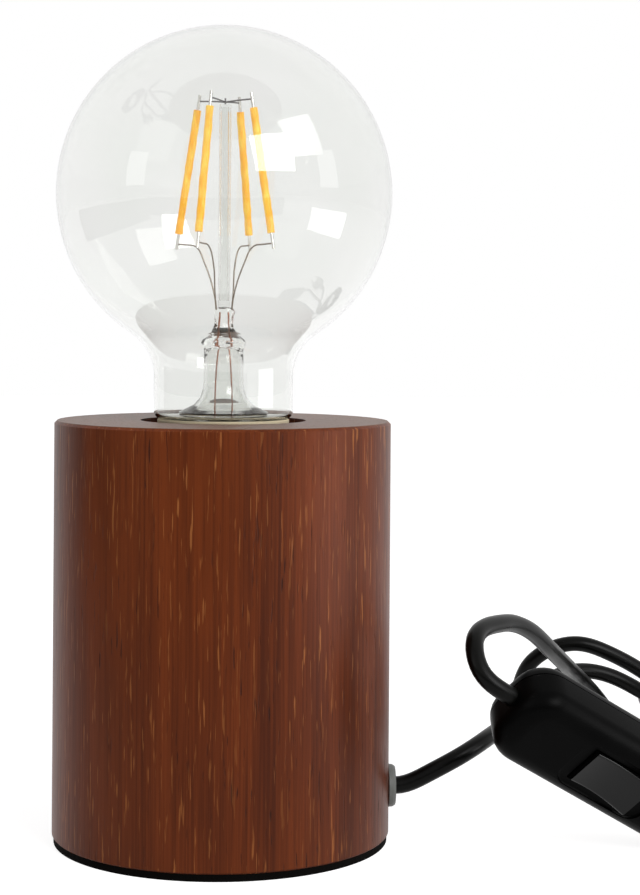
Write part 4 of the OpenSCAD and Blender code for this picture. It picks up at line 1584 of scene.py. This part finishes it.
@dataclass(frozen=True)
class MainsPlug:
    """The flat two-pin plug, modelled with x towards its pins, and the strap round the coil.

    Attributes:
        tail: The place of its tail, where the lead goes in.
        body: The body's lowest and highest corners, flat along y before it is laid down.
        corner: The radius of the body's corners.
        edge: The radius of its edges.
        ribs: How many ribs the tail has.
        pitch: Their spacing in millimetres.
        crest: The first rib's radius in millimetres.
        growth: How much wider each next rib is.
    """

    tail: Vector = Vector((0.186, 0.046, 0.007))
    body: tuple[Vector, Vector] = (Vector((0.021, -0.0068, -0.013)), Vector((0.051, 0.0068, 0.013)))
    corner: float = 0.006
    edge: float = 0.0034
    ribs: int = 6
    pitch: float = 3.1
    crest: float = 3.4
    growth: float = 0.38

    def mould_body(self) -> bpy.types.Object:
        """Models the body and its ribbed tail, which relieves the lead.

        Returns:
            The plug's body, in its place.
        """
        on_side, to_pins, to_front = (
            Matrix.Rotation(math.radians(angle), 4, axis)
            for angle, axis in ((90, "X"), (90, "Y"), (-90, "Z"))
        )
        flat = settle(round_block("plug_moulding", *self.body, self.corner, self.edge), on_side)
        outline = [(0, 0), (2.9, 0), (3.3, 0.5)]
        for i in range(self.ribs):
            crest, foot = self.crest + self.growth * i, self.pitch * i
            outline += [
                (crest, 0.7 + foot), (crest + 0.25, 2.6 + foot),
                (crest - 0.35, 3.0 + foot), (crest - 0.35, 3.5 + foot),
            ]
        outline += [(5.4, 19.8), (5.6, 21.5), (5.6, 24), (0, 24)]
        sleeve = settle(turn_on_lathe("ribs", millimetres(*outline), 48), to_pins)
        return settle(join_pieces(flat, sleeve), Matrix.Translation(self.tail) @ to_front)

    def dress(self, paints: Paintbox) -> list[bpy.types.Object]:
        """Models the plug's body and finishes the plug and the strap.

        Args:
            paints: The finishes.

        Returns:
            The pieces on the lead's far stretch.
        """
        body = self.mould_body()
        paints.dress_piece(body, "plug_body", Finish.CASE)
        paints.coat_nodes(Finish.NICKEL, "plug_pins")
        paints.coat_nodes(Finish.STRAP, "coil_tie")
        return [body, frame["nodes"]["plug_pins"], frame["nodes"]["coil_tie"]]


# ---------------------------------------------------------------- studio


@dataclass(frozen=True)
class Softbox:
    """One area lamp that points at the lamp's middle.

    Attributes:
        name: Its name.
        place: Where it stands, in metres.
        width: Its width.
        height: Its height.
        power: Its power in watts.
    """

    name: str
    place: Vector
    width: float
    height: float
    power: float

    def hang(self, target: Vector) -> None:
        """Hangs the lamp so that it points at the target.

        Args:
            target: The point that it lights.
        """
        light = bpy.data.lights.new(self.name, "AREA")
        light.shape = "RECTANGLE"
        light.size, light.size_y, light.energy = self.width, self.height, self.power
        piece = bpy.data.objects.new(self.name, light)
        bpy.context.scene.collection.objects.link(piece)
        piece.location = self.place
        piece.rotation_euler = (target - self.place).to_track_quat("-Z", "Y").to_euler()


@dataclass(frozen=True)
class Card:
    """An upright card beside the lamp that only reflections see, dark or glowing.

    Attributes:
        name: Its name.
        azimuth: Its direction, in degrees to the right of the camera's.
        distance: Its distance from the lamp's axis in metres.
        width: Its width.
        low: The height of its lower edge.
        high: The height of its upper edge.
        glow: Its strength, 0 where it is dark.
    """

    name: str
    azimuth: float
    distance: float
    width: float
    low: float
    high: float
    glow: float = 0.0

    def stand(self) -> None:
        """Stands the card in its place, facing the lamp."""
        angle = math.radians(self.azimuth)
        bpy.ops.object.select_all(action="DESELECT")
        bpy.ops.mesh.primitive_plane_add(size=1, location=(
            self.distance * math.sin(angle), -self.distance * math.cos(angle), (self.low + self.high) / 2,
        ), rotation=(math.radians(90), 0, angle))
        piece = bpy.context.object
        piece.name = self.name
        piece.scale = (self.width, self.high - self.low, 1)
        recipe = Recipe(self.name)
        recipe.feed("Base Color", BLACK)
        recipe.feed("Specular IOR Level", 0.0)
        recipe.feed("Emission Color", WHITE)
        recipe.feed("Emission Strength", self.glow)
        piece.data.materials.append(recipe.material)
        piece.visible_camera = piece.visible_diffuse = piece.visible_shadow = False
        piece.visible_transmission = False


@dataclass(frozen=True)
class Studio:
    """White floor and surroundings with soft lamps.

    Attributes:
        ambient: The surroundings' strength for soft light.
        lift: What the camera sees the floor give off besides its lit colour.
        grey: How light the floor is where it is lit.
        span: The floor's width in metres.
    """

    ambient: float = 0.32
    lift: float = 0.86
    grey: float = 0.5
    span: float = 6

    def floor(self) -> None:
        """Lays the white floor."""
        bpy.ops.object.select_all(action="DESELECT")
        bpy.ops.mesh.primitive_plane_add(size=self.span, location=(0, 0, 0))
        piece = bpy.context.object
        piece.name = "studio_floor"
        recipe = Recipe("studio_floor")
        recipe.feed("Base Color", (self.grey, self.grey, self.grey, 1.0))
        recipe.feed("Roughness", 0.95)
        recipe.feed("Specular IOR Level", 0.1)
        recipe.feed("Emission Color", WHITE)
        recipe.feed("Emission Strength", white_rays(recipe.tree) * self.lift)
        piece.data.materials.append(recipe.material)

    def surroundings(self) -> None:
        """Makes the world white where it is seen, and softer where it lights."""
        world = bpy.data.worlds.new("studio")
        world.use_nodes = True
        bpy.context.scene.world = world
        tree = world.node_tree
        back = next(n for n in tree.nodes if n.type == "BACKGROUND")
        strength = white_rays(tree) * (1.0 - self.ambient) + self.ambient
        back.inputs["Color"].default_value = WHITE
        tree.links.new(strength.socket, back.inputs["Strength"])

    def light(self) -> None:
        """Hangs the lamps."""
        middle = Vector((0, 0, 0.11))
        for box in (
            Softbox("right_lamp", Vector((1.05, -0.6, 0.95)), width=0.6, height=0.6, power=3.0),
            Softbox("left_lamp", Vector((-0.95, -0.75, 0.85)), width=0.6, height=0.6, power=0.5),
            Softbox("front_lamp", Vector((0.85, -1.25, 0.85)), width=0.8, height=0.7, power=16.0),
        ):
            box.hang(middle)
        for card in (
            Card("dark_front", azimuth=-6, distance=0.5, width=1.0, low=0.001, high=0.13),
            Card("dark_left", azimuth=-82, distance=0.5, width=0.62, low=0.001, high=0.13),
            Card("right_sheen", azimuth=73, distance=0.45, width=0.24, low=0.001, high=0.112, glow=6.0),
            Card("right_window", azimuth=73, distance=1.15, width=0.30, low=0.24, high=0.66, glow=3.0),
            Card("left_window", azimuth=-61, distance=1.2, width=0.30, low=0.24, high=0.66, glow=3.0),
        ):
            card.stand()

    def build(self) -> None:
        """Builds the whole studio."""
        self.surroundings()
        self.floor()
        self.light()
        bpy.context.scene.view_settings.view_transform = "Standard"
        log.info("built the studio")


@dataclass(frozen=True)
class Photographer:
    """The camera at the photograph's place.

    Attributes:
        distance: Its distance in front of the lamp's axis, in metres.
        height: Its height above the table.
        lens: Its focal length in millimetres, on a 36 mm sensor's long side.
        rise: How far the lens is shifted up, as a share of the picture's height.
        yaw: How far it looks to the right, in degrees.
        roll: How far it is rolled about its own axis.
    """

    distance: float = 0.582
    height: float = 0.1485
    lens: float = 82.5
    rise: float = -0.1503
    yaw: float = 2.68
    roll: float = 0.38

    def aim(self) -> None:
        """Makes the camera the scene's own."""
        camera = bpy.data.cameras.new("photo_camera")
        camera.lens, camera.sensor_width, camera.shift_y = self.lens, 36.0, self.rise
        piece = bpy.data.objects.new("photo_camera", camera)
        bpy.context.scene.collection.objects.link(piece)
        piece.location = (0, -self.distance, self.height)
        turn = Euler((math.radians(90), 0, math.radians(-self.yaw))).to_matrix()
        roll = Matrix.Rotation(math.radians(self.roll), 3, "Z")
        piece.rotation_euler = (turn @ roll).to_euler()
        bpy.context.scene.camera = piece
        log.info("aimed the camera")


# ---------------------------------------------------------------- main


def main() -> None:
    """Builds the studio and dresses every part of the lamp."""
    logging.basicConfig(level=logging.INFO, format="%(name)s: %(message)s")
    paints = Paintbox()
    place = SwitchPlace()
    Photographer().aim()
    WoodenBase().dress(paints)
    Lampholder().dress(paints)
    GlobeBulb().dress(paints)
    on_first = InlineSwitch(place).dress(paints)
    on_second = MainsPlug().dress(paints)
    Lead().lay(paints, place, Coil())
    Studio().build()


if __name__ == "__main__":
    main()
